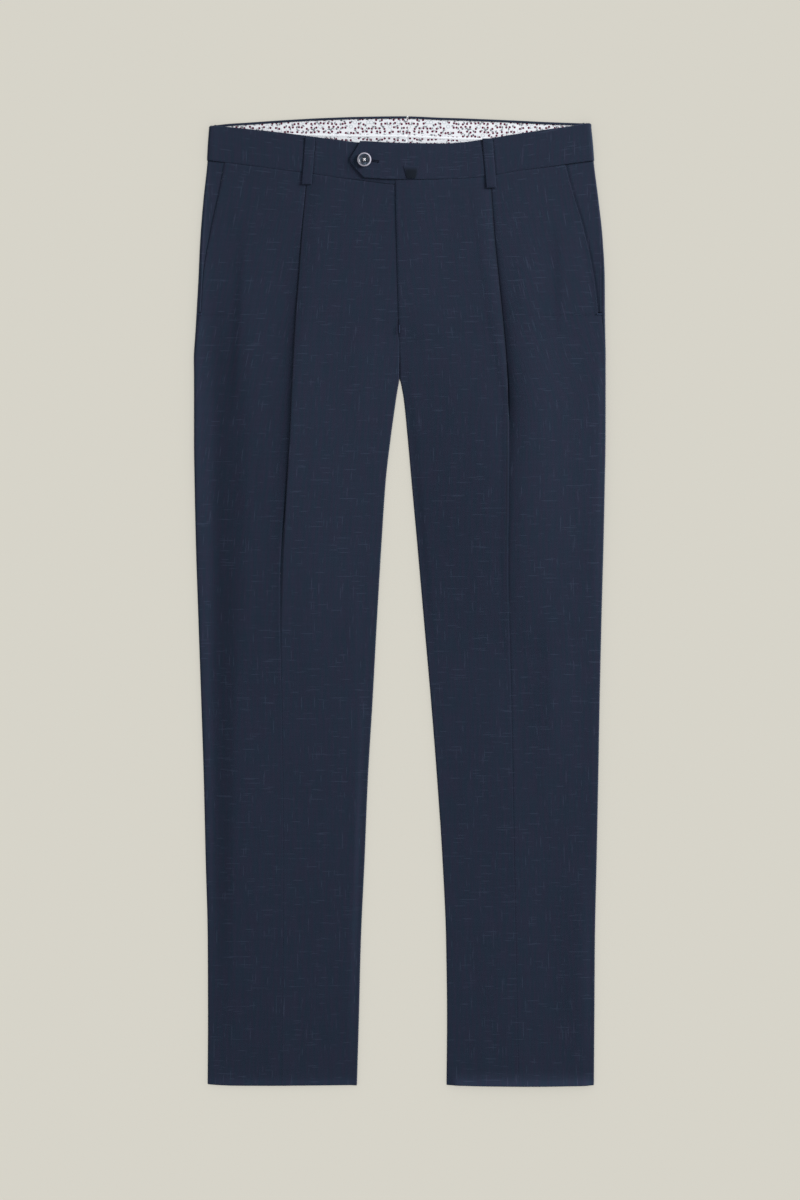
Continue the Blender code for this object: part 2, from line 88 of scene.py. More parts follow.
# Rows and columns of the panels and the waistband. The NEAR ones are distances from a seam.
LEG_ROWS = 296
HEM_ROWS = (6, 10)
INNER_COLUMNS = 44
OUTER_COLUMNS = 56
BACK_COLUMNS = 40
SEAM_COLUMNS = 12
BACK_SEAM_COLUMNS = 14
FOLD_STEPS = 9
TURN_PAST = 1.0
TURN_CROWDING = 1.3
FACING_ROWS = 50
FACING_COLUMNS = 34
BAND_ROWS = 14
BAND_COLUMNS = 44
BAND_BEND_COLUMNS = 18
BAND_FOLD_COLUMNS = 16
BAND_LOOP_COLUMNS = 26
TAB_COLUMNS = 22
TAB_END_COLUMNS = 8
STRIP_COLUMNS = 60
STRIP_ROWS = 8
LEG_NEAR = (0.0, 0.5, 1.1, 1.9, 3.0, 4.6)
FACING_NEAR = (0.0, 0.5, 1.1, 2.0)
BAND_NEAR = (0.0, 0.5, 1.1, 2.0, 3.4)
CENTRE_NEAR = (0.0, 0.5, 1.1, 2.0, 3.2)

# The legs: how far the hem flares, how the top layer nears a pleat's fold, how the cloth beyond
# it climbs to the side, and how the side fold is rounded.
HEM_FLARE = {"right": 1.6, "left": 7.5}
HEM_GAP = 0.1
CREASE_RUN = 5.0
EDGE_FADE = (2.0, 13.0)
INNER_CROWDING = 1.35
OUTER_CROWDING = 1.7
RISE = 1.3
FALL = {"right": 3.0, "left": 1.7}
FOLD_NEAR = 1.0
NOSE_GAP = 0.12
LIP = 0.15
LIP_SHARE = 0.08
LIP_RUN = 2.2
SIDE_RISE = 0.65
SIDE_ROUND = {"right": 0.0, "left": 0.35}
SIDE_ROUND_RUNS = (40.0, 3.0)
PUFF_RUN = {"right": 6.0, "left": 40.0}
PUFF_CREST = 2.0
FOLD_WIDTH = 1.4
OVER_FULL = 2.0
RUMPLE_SEED = {"right": 31.0, "left": 7.0}
RUMPLE_SIZES = ((1.0, 38.0, 110.0, 0.0), (0.4, 14.0, 45.0, 5.0))

# Fly and pockets: laps, clear spaces and how the cloth rolls at the pocket's edge.
FLY_LAP = 10.0
FLY_RAISE = (66.0, 9.0)
FLY_CLEAR = 0.2
CENTRE_GAP = 0.03
POCKET_CLEAR = 0.1
POCKET_ROLL = {"right": 1.0, "left": -1.0}
FACING_LAP = 12.0
FACING_DIP = {"right": 0.0, "left": 0.4}
FACING_DIP_AT = 1.0
FACING_DIP_WIDTH = 1.6
FACING_SETTLED = (0.2, 1.5)
FACING_BELOW = 0.3

# Waistband: how far it laps, its pointed tab, its rolled top edge and the notch at the back.
WAIST_SIDE = 213.0
WAISTBAND_LAP = 12.0
BAND_ROW = 512.0
BAND_MIDDLE = 523.0
BAND_BEND = 186.0
BAND_SWELL = 0.2
BAND_PUFF_ROW = 450.0
TAB_POINT = 55.8
TAB_CORNERS = (43.8, 38.6)
TAB_SHOULDER = 0.6
TAB_MIDDLE = 0.49
TAB_SOFTNESS = 0.12
TAB_LIFT = 0.4
TAB_LIFT_FROM = (5.0, -8.0)
TAB_LIFT_RUN = 7.0
ROLL_DEPTH = 1.3
ROLL_EDGE = 0.3
ROLL_GAP = 0.2
ROLL_LEAST = 0.02
ROLL_FADE = (211.0, 204.0)
CORNER_DROP = 1.3
CORNER_REACH = 1.2
NOTCH = 1.1
NOTCH_REACH = 4.0
NOTCH_FROM = (9.0, 5.5)

# Lining and curtain.
LINING_MIDDLE = 530.0
LINING_END = 202.0
LINING_SINK = 0.2
LINING_TUCK = 0.1
LINING_STRIP = (0.5, 0.7, 1.2)
LINING_STRIP_TOP = 0.8
RIDGE_DROP = 4.5
RIDGE_BAND = 2.6
RIDGE_BULGE = 0.22
CURTAIN_MIDDLE = 520.0
CURTAIN_END = 198.0
CURTAIN_DEPTH = 26.0
CURTAIN_SINK = 0.5
CURTAIN_TUCK = 0.3
CURTAIN_GRAIN = 3.0

# Belt loops, keeper and button. Painted shade darkens the keeper's tape: its limits below say from where to
# where the shade sets in, from the tape's side edges and from its top.
LOOP_WIDTH = 11.0
LOOP_NEAR = 10.0
LOOP_FOLD = 5.0
LOOP_FOLD_ROW = 0.6
LOOP_ROWS = 18
LOOP_BEND_ROWS = 9
LOOP_COLUMNS = 11
LOOP_WALL = 0.5
LOOP_CLEAR = 0.1
LOOP_SEAT = 0.9
LOOP_SAG = 0.45
LOOP_CROWN = 0.15
LOOP_PRESS = 0.3
LOOP_PRESS_AT = 0.4
LOOP_PRESS_WIDTH = 1.1
LOOP_GRAIN = 60.0
KEEPER_WIDTHS = (9.5, 18.0)
KEEPER_HEIGHT = 14.0
KEEPER_CELLS = 15
KEEPER_PAINTED_SHADE = ((9.5, 4.5), (KEEPER_HEIGHT, 0.55 * KEEPER_HEIGHT))
KEEPER_OUT = 13.0
KEEPER_UP = 1.0
KEEPER_SEAT = 0.94
KEEPER_CROWN = 0.2
KEEPER_WALL = 0.25
BUTTON_OUT = 39.5
BUTTON_Y = 494.0
BUTTON_RADIUS = 7.75

# Sewing: strands of thread, their arches, and where the tacks and the crotch's stitches lie.
STRAND = 0.17
STRAND_ARCH = 0.22
STRAND_END = 0.4
CROSS_STRAND = 0.23
CROSS_SHIFTS = (-0.34, 0.0, 0.34)
CROSS_LIFTS = (0.75, 0.93)
CROSS_CROWN = 0.1
CROSS_REACH = 0.97
CROSS_SEAT = 1.5
TACK_SPACING = 0.36
TACK_WIDTH = 1.2
FLY_TACK = ((-0.3, 309.0, 0.35), (-0.2, 300.5, -0.25))
POCKET_TACK = ((-1.0, 0.0), (4.4, -0.3))
POCKET_TACK_WIDTH = 1.8
POCKET_TACK_DOWN = 1.4
POCKET_TACK_UP = 1.3
CROTCH_SEAM = (278.0, 268.0, 258.0, 248.6)
CROTCH_STITCH = 1.3
CROTCH_STRAND = 0.32
SLIT = ((3.0, 0.0), (16.0, -2.0))
SLIT_STITCH = (0.25, 1.35)
SLIT_STITCHES = 34
SLIT_ARCH = 0.25
SLIT_END = 1.3

# The print's motifs: radii and half widths. A ring takes a berry's place in cells whose number
# is above RING_ABOVE.
BERRY_RADIUS = 1.3
LEAF_RADII = (2.0, 3.0)
LEAF_WIDTH = 0.5
LEAF_SPREAD = 0.95
RING_RADIUS = 1.8
RING_WIDTH = 0.3
RING_ABOVE = 0.92

# Thick places in the suiting's yarn: from which to which value of the noise they show, warp and
# weft, how much of their colour and how much height they have, and how wide and long the
# fainter streaks are beside them. THREAD_APART keeps one thread's noise from its neighbour's.
WARP_SLUBS = (0.69, 0.82)
WEFT_SLUBS = (0.67, 0.80)
SLUB_STRENGTH = 0.3
SLUB_HEIGHT = 1.5
STREAKS = (0.3, 0.7)
STREAK_SIZE = (1.3, 2.2)
THREAD_APART = 7.31

# Sizes of the other patterns: patches of cooler and warmer navy, across and along, and how much
# they show; the tape's ribs; the lining's crumples; the button's swirls and its rim's clouds;
# the twist of a thread.
HUE_PATCH = (10 / 3, 31.25)
HUE_STRENGTH = 0.45
TAPE_RIB = 1.047
LINING_CRUMPLE = 6.25
HORN_SWIRL = 3.846
RIM_CLOUD = 2.381
THREAD_TWIST = 0.403

# Painted shade and light on the suiting: how dark the painted shade along a pleat's fold is, from which to
# which distance off the fold and height it shows, and how light the painted light makes the last of the hem.
FOLD_PAINTED_SHADE = 0.62
FOLD_PAINTED_SHADE_FROM = (1.5, 0.4)
FOLD_PAINTED_SHADE_ROWS = (-60.0, 120.0)
HEM_PAINTED_LIGHT = 1.34
HEM_PAINTED_LIGHT_WIDTH = 9.0

# The wearer's right lies at -X.
SIDES = {"right": -1.0, "left": 1.0}

# Each side's pieces are cut from a place of their own in the cloth.
GRAIN_APART = {"right": 0.0, "left": 1370.0}


class Table:
    """Rows of numbers under named columns. at() reads a column at a place in the first one, on
    a smooth line through the rows that never overshoots.
    """

    def __init__(self, columns, *rows):
        table = np.array(sorted(rows), float)
        self.places = table[:, 0]
        self.lines = {}
        for name, values in zip(columns.split()[1:], table.T[1:]):
            slopes = np.diff(values) / np.diff(self.places)
            tangents = np.concatenate([slopes[:1], np.zeros(len(slopes) - 1), slopes[-1:]])
            for i in range(1, len(slopes)):
                if slopes[i - 1] * slopes[i] > 0:
                    tangents[i] = 2 * slopes[i - 1] * slopes[i] / (slopes[i - 1] + slopes[i])
            self.lines[name] = (values, tangents)

    def at(self, name, place):
        """The column's value at a number or an array of numbers."""
        values, tangents = self.lines[name]
        places = self.places
        place = np.clip(place, places[0], places[-1])
        i = np.clip(np.searchsorted(places, place) - 1, 0, len(places) - 2)
        span = places[i + 1] - places[i]
        t = (place - places[i]) / span
        rise = t * t * (3 - 2 * t)
        return (
            values[i] * (1 - rise)
            + values[i + 1] * rise
            + span * tangents[i] * t * (1 - t) ** 2
            - span * tangents[i + 1] * t * t * (1 - t)
        )


# Outline of each leg: height, how far out its inner edge and its side edge lie, and how far
# the side seam sits up and over from the middle of the side fold.
LEG = Table(
    "y inner_right side_right over_right inner_left side_left over_left",
    (530, 0, 212.9, 0, 0, 214.3, 0),
    (512, 0, 214.2, 0, 0, 216.1, 0),
    (494, 0, 215.3, 0, 0, 217.6, 0),
    (449, 0, 220, 0.5, 0, 223.1, 0.5),
    (404, 0, 223.4, 1.5, 0, 227.7, 2),
    (360, 0, 225.4, 2.6, 0, 229.9, 4),
    (322, 0, 227.5, 2.8, 0, 230.1, 4.2),
    (300, 0, 228.8, 1.8, 0, 230.4, 2.2),
    (270, 0, 230.6, 0.8, 0, 231, 0.6),
    (248, 0, 230.5, 0.3, 0, 231, 0),
    (245, 0.6, 230.5, 0.2, 1, 231, -0.1),
    (236, 2.2, 230.4, 0, 2.8, 230.9, -0.2),
    (225, 3.9, 230.4, -0.2, 4.6, 230.9, -0.4),
    (180, 10.1, 230.4, -0.5, 9.1, 230.8, -0.5),
    (136, 15.2, 229.8, -1, 13, 230, -1),
    (68, 19.8, 228.4, -1.2, 19.2, 228.6, -1.2),
    (-21, 25.1, 225.5, -1.2, 27, 226.3, -1.2),
    (-111, 30, 222.4, -1.2, 34.9, 224.3, -1.2),
    (-200, 35.3, 219.5, -1.2, 41.9, 222.7, -1.2),
    (-290, 39, 217.4, -1.2, 47.9, 220.9, -1.2),
    (-380, 43.1, 215.1, -1.2, 51.9, 219, -1.2),
    (-469, 45.4, 214.8, -1.2, 53, 218.4, -1.2),
    (HEM, 47.6, 215.2, -1.2, 52.4, 217.9, -1.2),
)

# Each pleat and the crease it runs into: height, how far out the fold edge lies on each leg,
# how deep the cloth is folded under, how many degrees it turns, how high the pressed crease
# stands and how far apart the folded layers lie.
PLEAT = Table(
    "y out_right out_left depth_right depth_left turn_right turn_left crease part",
    (WAIST_ROW, 103, 101.5, 20, 20, 180, 180, 0, 0.64),
    (446, 106.2, 103.5, 19, 19, 180, 180, 0, 0.64),
    (415, 109, 105.5, 17.2, 17.2, 180, 180, 0, 0.65),
    (360, 113, 110.9, 14, 14, 180, 180, 0, 0.66),
    (315, 116.4, 115.5, 11, 11, 180, 180, 0, 0.68),
    (270, 118.9, 119.3, 7.5, 6.4, 180, 178, 0, 0.7),
    (248, 120, 120.5, 5.6, 3.4, 180, 160, 0, 0.71),
    (225, 121, 121.2, 4, 1.3, 180, 100, 0, 0.72),
    (203, 121.9, 121.3, 2.8, 0.6, 180, 48, 0, 0.74),
    (180, 123, 121.2, 1.8, 0.4, 180, 28, 0, 0.76),
    (160, 124.2, 121, 1.3, 0.3, 175, 18, 0, 0.8),
    (136, 125.6, 120.8, 0.8, 0.3, 165, 12, 0, 0.84),
    (95, 128.2, 120.4, 0.3, 0.3, 105, 8, 0, 0.9),
    (70, 129.8, 120, 0.3, 0.3, 62, 7, 0, 0.95),
    (40, 131.4, 120, 0.3, 0.3, 34, 6, 0.05, 1),
    (-21, 132.4, 121.4, 0.3, 0.3, 16, 6, 0.1, 0.8),
    (-111, 131.2, 124.4, 0.3, 0.3, 8, 6, 0.1, 0.4),
    (-290, 129.5, 127.7, 0.3, 0.3, 8, 6, 0.1, 0.3),
    (HEM, 131.5, 132.5, 0.3, 0.3, 8, 6, 0.1, 0.3),
)

# Heights at each pleat: of the top layer and of the cloth beyond the fold, how far that cloth
# sinks (or, below 0, swells) towards the fold and over what width, and the width of the cleft
# beside the fold.
STEP_COLUMNS = "y top beyond sink width cleft"
STEP = {
    "right": Table(
        STEP_COLUMNS,
        (WAIST_ROW, 4.4, 4.4, 0, 2, 0.4),
        (446, 4.45, 4.4, 0, 3, 0.5),
        (421, 4.7, 4.2, -0.3, 5, 0.6),
        (371, 5.5, 4, -0.9, 7, 0.8),
        (330, 6.3, 3.9, -1.6, 8, 0.9),
        (280, 6.9, 3.8, -2.1, 8, 1),
        (225, 7.3, 3.8, -2.3, 8, 1),
        (160, 7.1, 3.8, -2.3, 8, 1),
        (100, 6.5, 3.8, -2.1, 9, 0.9),
        (40, 5.8, 3.8, -1.7, 10, 0.7),
        (-21, 4.9, 3.8, -1, 10, 0.5),
        (-80, 4.3, 3.9, -0.4, 11, 0.4),
        (-140, 4, 3.9, -0.1, 11, 0.4),
        (HEM, 3.9, 3.8, 0, 10, 0.4),
    ),
    "left": Table(
        STEP_COLUMNS,
        (WAIST_ROW, 4.4, 4.4, 0, 2, 0.5),
        (446, 4.4, 4.5, 0.3, 2, 0.5),
        (421, 4.4, 4.7, 0.8, 3, 0.7),
        (371, 4.4, 5.2, 1.4, 4, 1),
        (330, 4.4, 6.1, 2.4, 7, 1.5),
        (280, 4.4, 8, 4.4, 11, 2),
        (225, 4.6, 10.4, 6.7, 17, 2.2),
        (180, 5.1, 11.2, 6.6, 21, 2),
        (140, 5.4, 11.3, 6.1, 24, 1.6),
        (100, 5.4, 10.8, 5.5, 26, 1.3),
        (40, 5, 8.9, 3.9, 26, 1),
        (-21, 4.5, 6.8, 2.4, 22, 0.8),
        (-90, 4.1, 5, 0.9, 15, 0.6),
        (-150, 4, 4.2, 0.2, 12, 0.5),
        (HEM, 3.9, 3.9, 0, 10, 0.4),
    ),
}

# How much higher the upper cloth stands at each side, where the side fold is puffed up.
PUFF = Table(
    "y right left",
    (WAIST_ROW, 0.3, 0.3),
    (450, 1, 1),
    (400, 2, 1.9),
    (330, 2.9, 2.8),
    (200, 2.9, 3.6),
    (110, 2.1, 3.4),
    (20, 1.1, 2.4),
    (-80, 0.7, 1.6),
    (-260, 0.4, 1.3),
    (-400, 0.3, 0.8),
    (HEM, 0.3, 0.3),
)

# Centre line at the top: where the fly's edge and the centre back seam lie, in x.
CENTRE = Table(
    "y fly_edge centre_back",
    (545, -4.8, 9.2),
    (WAIST_ROW, -4.6, 8.4),
    (377.5, -2.6, 5.5),
    (323.7, -1.2, 3.5),
    (308, -0.6, 2.5),
    (270, -0.2, 0.8),
    (CROTCH, 0, 0),
)

# Waistband: distance out (negative past the centre line), heights of the front's seam and top
# edge on each side, of the back's seam, and of the back's top edge on each side.
WAIST = Table(
    "out seam_right top_right seam_left top_left back_seam back_right back_left",
    (-60, 465, 508, 475.6, 516.6, 502, 543.6, 543.6),
    (0, 466.5, 511, 472.1, 513.1, 502, 543.5, 543.6),
    (50, 472.1, 514, 472.6, 512.5, 500.8, 542.8, 541.8),
    (67, 474.1, 516.4, 473.2, 513.4, 500.2, 542.2, 541.3),
    (90, 477.6, 519.2, 474.8, 516.5, 499.3, 541.3, 540.4),
    (130, 482.8, 524.4, 481.5, 523, 497.3, 539.1, 538.7),
    (170, 488.2, 528.7, 486.7, 528.9, 495.4, 536.4, 536.8),
    (193, 491.1, 531.1, 490.1, 532, 494.3, 534.9, 536),
    (213, 493.6, 532.7, 493, 535.4, 493.3, 532.7, 535.4),
)

# Slanted pocket edge: height, and how far out it lies on each leg.
POCKET = Table(
    "y right left",
    (495, 194.5, 182.5),
    (480.5, 196, 185.2),
    (449, 202.5, 194.2),
    (412.2, 211.8, 206.6),
    (365.5, 219.4, 216.6),
    (POCKET_END, 222.4, 222),
)

# Top line of the curtain, where it is folded over the printed lining: x and height.
RIDGE = Table(
    "x height",
    (-213, 527),
    (-67, 523),
    (0, 522.3),
    (90, 519),
    (213, 525),
)

# Hem: distance out, and how far each leg's lower edge lies from a straight one.
HEM_LINE = Table(
    "out right left",
    (45, -0.5, 0.5),
    (56, 0.3, 0.4),
    (90, 0.1, -0.4),
    (150, -0.3, -0.9),
    (185, -0.2, -0.5),
    (202, 0.4, -0.2),
    (218, 1.5, 0.2),
)

# Belt loops: how far out the top and the bottom lie, and their heights.
BELT_LOOPS = {
    "right": (100, 104, 519.6, 466.6),
    "left": (98.2, 103, 517.8, 462.8),
}

# Soft troughs (below 0) and ridges in the fronts: both ends of the crest (out, y), how wide
# its flanks are towards the side seam and towards the inseam, its height, and where along its
# length it is strongest.
FOLDS = {
    "right": (
        (170, 440, 183, 200, 7, 28, 1.6, 0.55),
        (166, 360, 168, -110, 24, 75, 3.8, 0.5),
        (178, 60, 187, -520, 15, 80, 2.8, 0.45),
        (208, 345, 209, -440, 9, 12, -1.8, 0.45),
        (90, 240, 98, -250, 26, 40, 0.8, 0.55),
        (50, 20, 54, -110, 14, 8, 0.5, 0.5),
        (47, -70, 56, -535, 50, 7, 1.6, 0.5),
        (30, 350, 52, 170, 22, 16, 0.5, 0.5),
    ),
    "left": (
        (180, 440, 183, 270, 25, 6, 0.6, 0.5),
        (136, 420, 140, 300, 20, 8, 0.4, 0.6),
        (108, 300, 118, -60, 70, 75, 4.4, 0.5),
        (166, 0, 180, -210, 22, 12, 1, 0.5),
        (158, -60, 164, -260, 14, 16, 0.7, 0.5),
        (104, -40, 110, -330, 30, 30, 0.5, 0.5),
        (203, -290, 205, -535, 8, 20, 0.9, 0.5),
        (108, -340, 112, -500, 14, 18, 0.5, 0.5),
    ),
}

# Colours as sRGB hex.
NAVY = "#1f2739"
NAVY_TEAL = "#192938"
NAVY_PLUM = "#252639"
SLUB_GREY = "#3c465b"
NAP_BLUE = "#8f9bb5"
# The keeper's near black is painted shade.
KEEPER_SHADE_NAVY = "#0f1722"
LINING_WHITE = "#e4e7ec"
BERRY = "#5c1a36"
LEAF = "#353a46"
RING_GREY = "#b4bcc2"
BUTTON_DARK = "#1a2130"
BUTTON_BLUE = "#5b7184"
BUTTON_RIM = "#b3b1be"
THREAD_WHITE = "#e8e6ea"
THREAD_NAVY = "#0c1120"
THREAD_TACK = "#323e56"
FLOOR_BEIGE = "#dcd9ce"


def linear(colour):
    """Linear red, green and blue of an sRGB hex colour."""
    channels = [int(colour[i : i + 2], 16) / 255 for i in (1, 3, 5)]
    return [c / 12.92 if c <= 0.04045 else ((c + 0.055) / 1.055) ** 2.4 for c in channels]


# ---------------------------------------------------------------- settings


def length(name, text, default, low=0.0):
    """A size in millimetres that a user may change."""
    return FloatProperty(name=name, description=text, default=default, min=low)


def colour(name, text, default):
    return FloatVectorProperty(
        name=name, description=text, default=linear(default), subtype="COLOR", size=3, min=0.0, max=1.0
    )


class TrousersCloth(bpy.types.PropertyGroup):
    wall: length("Suiting", "Thickness of the suiting, in millimetres", 0.6, 0.2)
    band_wall: length("Waistband", "Thickness of the faced waistband, in millimetres", 1.2, 0.2)
    lining_wall: length("Lining", "Thickness of the lining, in millimetres", 0.35, 0.1)
    seam_gap: length("Seam gap", "Space between two pieces along a seam, in millimetres", 0.1)
    groove: length("Seam groove", "How deep a seam draws the cloth in, in millimetres", 0.22)
    groove_width: length("Groove width", "Half width of a seam's groove, in millimetres", 1.1, 0.2)
    rumple: length("Rumple", "Height of the cloth's soft unevenness, in millimetres", 0.22)
    thread: length("Thread", "Spacing of the threads in the weave, in millimetres", 0.5, 0.1)
    slub: length("Slub", "Width of a slub, in millimetres", 0.9, 0.2)
    slub_length: length("Slub length", "Usual length of a slub, in millimetres", 26.0, 1.0)
    dot_spacing: length("Print spacing", "Distance between the lining's berries, in millimetres", 4.9, 1.0)


class TrousersColours(bpy.types.PropertyGroup):
    navy: colour("Navy", "Main colour of the suiting", NAVY)
    teal: colour("Teal navy", "Cooler threads of the suiting", NAVY_TEAL)
    plum: colour("Plum navy", "Warmer threads of the suiting", NAVY_PLUM)
    slub: colour("Slub", "Colour of the thick places in the yarn", SLUB_GREY)
    # The keeper colour is the painted shade on the prong keeper's tape.
    keeper: colour("Keeper", "Colour of the small loop over the fly", KEEPER_SHADE_NAVY)
    lining: colour("Lining", "Ground of the printed lining", LINING_WHITE)
    berry: colour("Berry", "Berries of the print", BERRY)
    leaf: colour("Leaf", "Leaves of the print", LEAF)
    ring: colour("Ring", "Open rings of the print", RING_GREY)
    button: colour("Button", "Dark part of the button", BUTTON_DARK)
    button_swirl: colour("Button swirl", "Light swirls in the button", BUTTON_BLUE)
    button_rim: colour("Button rim", "Rim of the button", BUTTON_RIM)


class TrousersStage(bpy.types.PropertyGroup):
    floor: colour("Floor", "Colour of the floor", FLOOR_BEIGE)
    floor_size: FloatProperty(
        name="Floor size", description="Width of the floor", default=14.0, min=2.0, unit="LENGTH"
    )
    focal: FloatProperty(
        name="Focal length",
        description="Focal length of the camera",
        default=85.0,
        min=20.0,
        unit="CAMERA",
    )
    frame_height: FloatProperty(
        name="Frame height",
        description="Height of the floor that the picture shows",
        default=1.344,
        unit="LENGTH",
    )
    sky: FloatProperty(name="Sky", description="Strength of the even light", default=0.35, min=0.0)
    key: FloatProperty(name="Key", description="Strength of the main soft light", default=1.6, min=0.0)
    fill: FloatProperty(name="Fill", description="Strength of the weaker light", default=0.45, min=0.0)
    segments: IntProperty(name="Floor cells", description="Cells along the floor", default=8, min=1)


# ---------------------------------------------------------------- smooth steps


def ease(start, end, value):
    """0 at start, 1 at end, smooth between."""
    t = np.clip((value - start) / (end - start), 0.0, 1.0)
    return t * t * (3.0 - 2.0 * t)


def mix(a, b, t):
    return a + (b - a) * t


def steps(a, b, count):
    """`count` points after a, up to b."""
    return [mix(a, b, (i + 1) / count) for i in range(count)]


def level(count):
    """Height of the middle of a wall that lies on `count` others."""
    return FIRST_LEVEL + count * LAYER


SIDE_TOP = level(2)
FRONT = level(3)


# ---------------------------------------------------------------- sections of a leg


def side_level(y):
    """Height of the upper wall near the side: it rises to meet the waistband."""
    return SIDE_TOP + SIDE_RISE * ease(*SIDE_RISE_FROM, y)


def side_top(side, y):
    return side_level(y) + PUFF.at(side, y)


def seam_over(side, y):
    """How far over the side fold its seam sits, as an arc: a puffed fold is longer."""
    over = LEG.at("over_" + side, y)
    return over + math.pi / 4 * PUFF.at(side, y) * ease(0.0, OVER_FULL, over)


def side_turn(arc, reach, top, wall, sign=1.0):
    """(out, z) on the fold at a side: `arc` runs over it, from 0 at half height, up positive.

    `reach` is how far out the fold's outer face lies, `top` the height of the upper wall.
    """
    bottom = wall / 2
    radius = (top - bottom) / 2
    narrow = min(radius, FOLD_WIDTH)
    quarter = math.pi / 2 * radius
    middle = reach - sign * (narrow + wall / 2)
    if abs(arc) > quarter:
        return middle - sign * (abs(arc) - quarter), top if arc > 0 else bottom
    angle = arc / radius
    return middle + sign * narrow * math.cos(angle), (top + bottom) / 2 + radius * math.sin(angle)


def fly_edge(side, y):
    """How far out a front's centre edge lies. The right one runs under the left one above the
    bar tack; below it they only meet.
    """
    if side == "left":
        return CENTRE.at("fly_edge", y) + CENTRE_GAP / 2
    lap = FLY_LAP * ease(BARTACK_END, BARTACK_TOP, y)
    return CENTRE_GAP / 2 - CENTRE.at("fly_edge", y) - lap


def fly_raise(x, y, height=LAYER):
    """The left front's rise over the right one, along the fly and the waistband's tab."""
    return height * ease(*FLY_RAISE, x) * ease(FLY_SETTLED, BARTACK_END, y)


def turned_arcs(edge, wall, top=SIDE_TOP, count=9):
    """Places round a side fold, from a piece's edge to just past where the fold ends."""
    end = max(math.pi / 4 * (top - wall / 2), edge) + TURN_PAST
    return [edge] + [mix(edge, end, share**TURN_CROWDING) for share in steps(0.0, 1.0, count - 1)]


def inner_edge(side, y, flat_edge, flat_z, arcs, cloth):
    """Points of a panel's inner edge: flat on the centre line above, over the inseam below."""
    curl = np.clip((CROTCH_CURL - y) / (CROTCH_CURL - CROTCH), 0.0, 1.0)
    reach = LEG.at("inner_" + side, y) + CENTRE_GAP / 2
    points = []
    for arc in arcs:
        turned = side_turn(arc, reach, SIDE_TOP, cloth.wall, sign=-1.0)
        flat = (flat_edge + abs(arc) - cloth.seam_gap, flat_z)
        points.append((mix(flat[0], turned[0], curl), mix(flat[1], turned[1], curl)))
    return points


def fold_under(out, depth, turn, top, part):
    """The pleat's points, from the top layer over the fold, back under it and out again."""
    turn = math.radians(turn)
    radius = math.pi * part / 2 / turn
    start = out - radius * math.sin(min(turn, math.pi / 2))
    points = [(start, top)]
    for angle in steps(0.0, turn, FOLD_STEPS):
        points.append((start + radius * math.sin(angle), top - radius * (1 - math.cos(angle))))
    first = points[-1]
    back = (first[0] + depth * math.cos(turn), first[1] - depth * math.sin(turn))
    points += [(mix(first[0], back[0], share), mix(first[1], back[1], share)) for share in steps(0, 1, 4)]
    for angle in steps(turn, 0.0, FOLD_STEPS):
        out = back[0] + radius * (math.sin(turn) - math.sin(angle))
        points.append((out, back[1] - radius * (math.cos(angle) - math.cos(turn))))
    return points


def front_section(side, y, cloth):
    """(out, z) across a front panel, from the fly or inseam to the side, and which of the points
    is on the pleat's fold.
    """
    flat_z = mix(SIDE_TOP, FRONT, ease(FLY_SETTLED, BARTACK_TOP, y))
    edge = fly_edge(side, y)
    arcs = turned_arcs(cloth.seam_gap, cloth.wall)
    points = inner_edge(side, y, edge, flat_z, arcs, cloth)

    sizes = [PLEAT.at(name, y) for name in ("out_" + side, "depth_" + side, "turn_" + side)]
    fold = fold_under(*sizes, STEP[side].at("top", y), PLEAT.at("part", y))
    over = min(point[0] for point in fold) - FOLD_NEAR
    under = max(point[0] for point in fold) + NOSE_GAP
    top, bottom = fold[0][1], fold[-1][1]
    begin, begin_z = points[-1]
    beyond, sink, width, cleft = [STEP[side].at(name, y) for name in STEP_COLUMNS.split()[2:]]
    lip = 0.0
    if side == "left":
        lip = LIP * ease(*LIP_TOP, y) * ease(*LIP_FOOT, y) + LIP_SHARE * sink
    for share in steps(0.0, 1.0, INNER_COLUMNS):
        out = mix(begin, over, share**INNER_CROWDING)
        rolled = lip * math.exp((out - over) / LIP_RUN)
        points.append((out, mix(begin_z, top - lip, share**RISE) + rolled))
    fold_at = len(points) + FOLD_STEPS // 2 + 1
    points += fold
    points += [(under, bottom)]

    pocketed = ease(*POCKET_RUNOUT, y)
    shift = seam_over(side, y)
    arcs = turned_arcs(shift + cloth.seam_gap, cloth.wall, side_top(side, y), SEAM_COLUMNS)[::-1]
    edge = POCKET.at(side, y)
    outer = []
    for arc in arcs:
        turned = side_turn(arc, LEG.at("side_" + side, y), side_top(side, y), cloth.wall)
        beside = edge - (arc - arcs[-1])
        lying = (beside, facing_top(side, beside, y) + cloth.wall + POCKET_CLEAR)
        outer.append((mix(turned[0], lying[0], pocketed), mix(turned[1], lying[1], pocketed)))
    end, end_z = outer[0]
    puff = mix(PUFF.at(side, y), facing_puff(side, edge, y), pocketed)
    rounding = SIDE_ROUND[side] * puff * ease(*SIDE_ROUND_FROM, y)
    wide, narrow = SIDE_ROUND_RUNS
    for share in steps(0.0, 1.0, OUTER_COLUMNS)[:-1]:
        away = (end - under) * share**OUTER_CROWDING
        level_z = mix(beyond, end_z - puff, share ** FALL[side]) - sink * math.exp(-away / width)
        inside = end - under - away
        level_z += puff * math.exp(-inside / PUFF_RUN[side])
        level_z += rounding * (math.exp(-inside / wide) - math.exp(-inside / narrow))
        points.append((under + away, mix(level_z, bottom, math.exp(-away / cleft))))
    return points + outer, fold_at


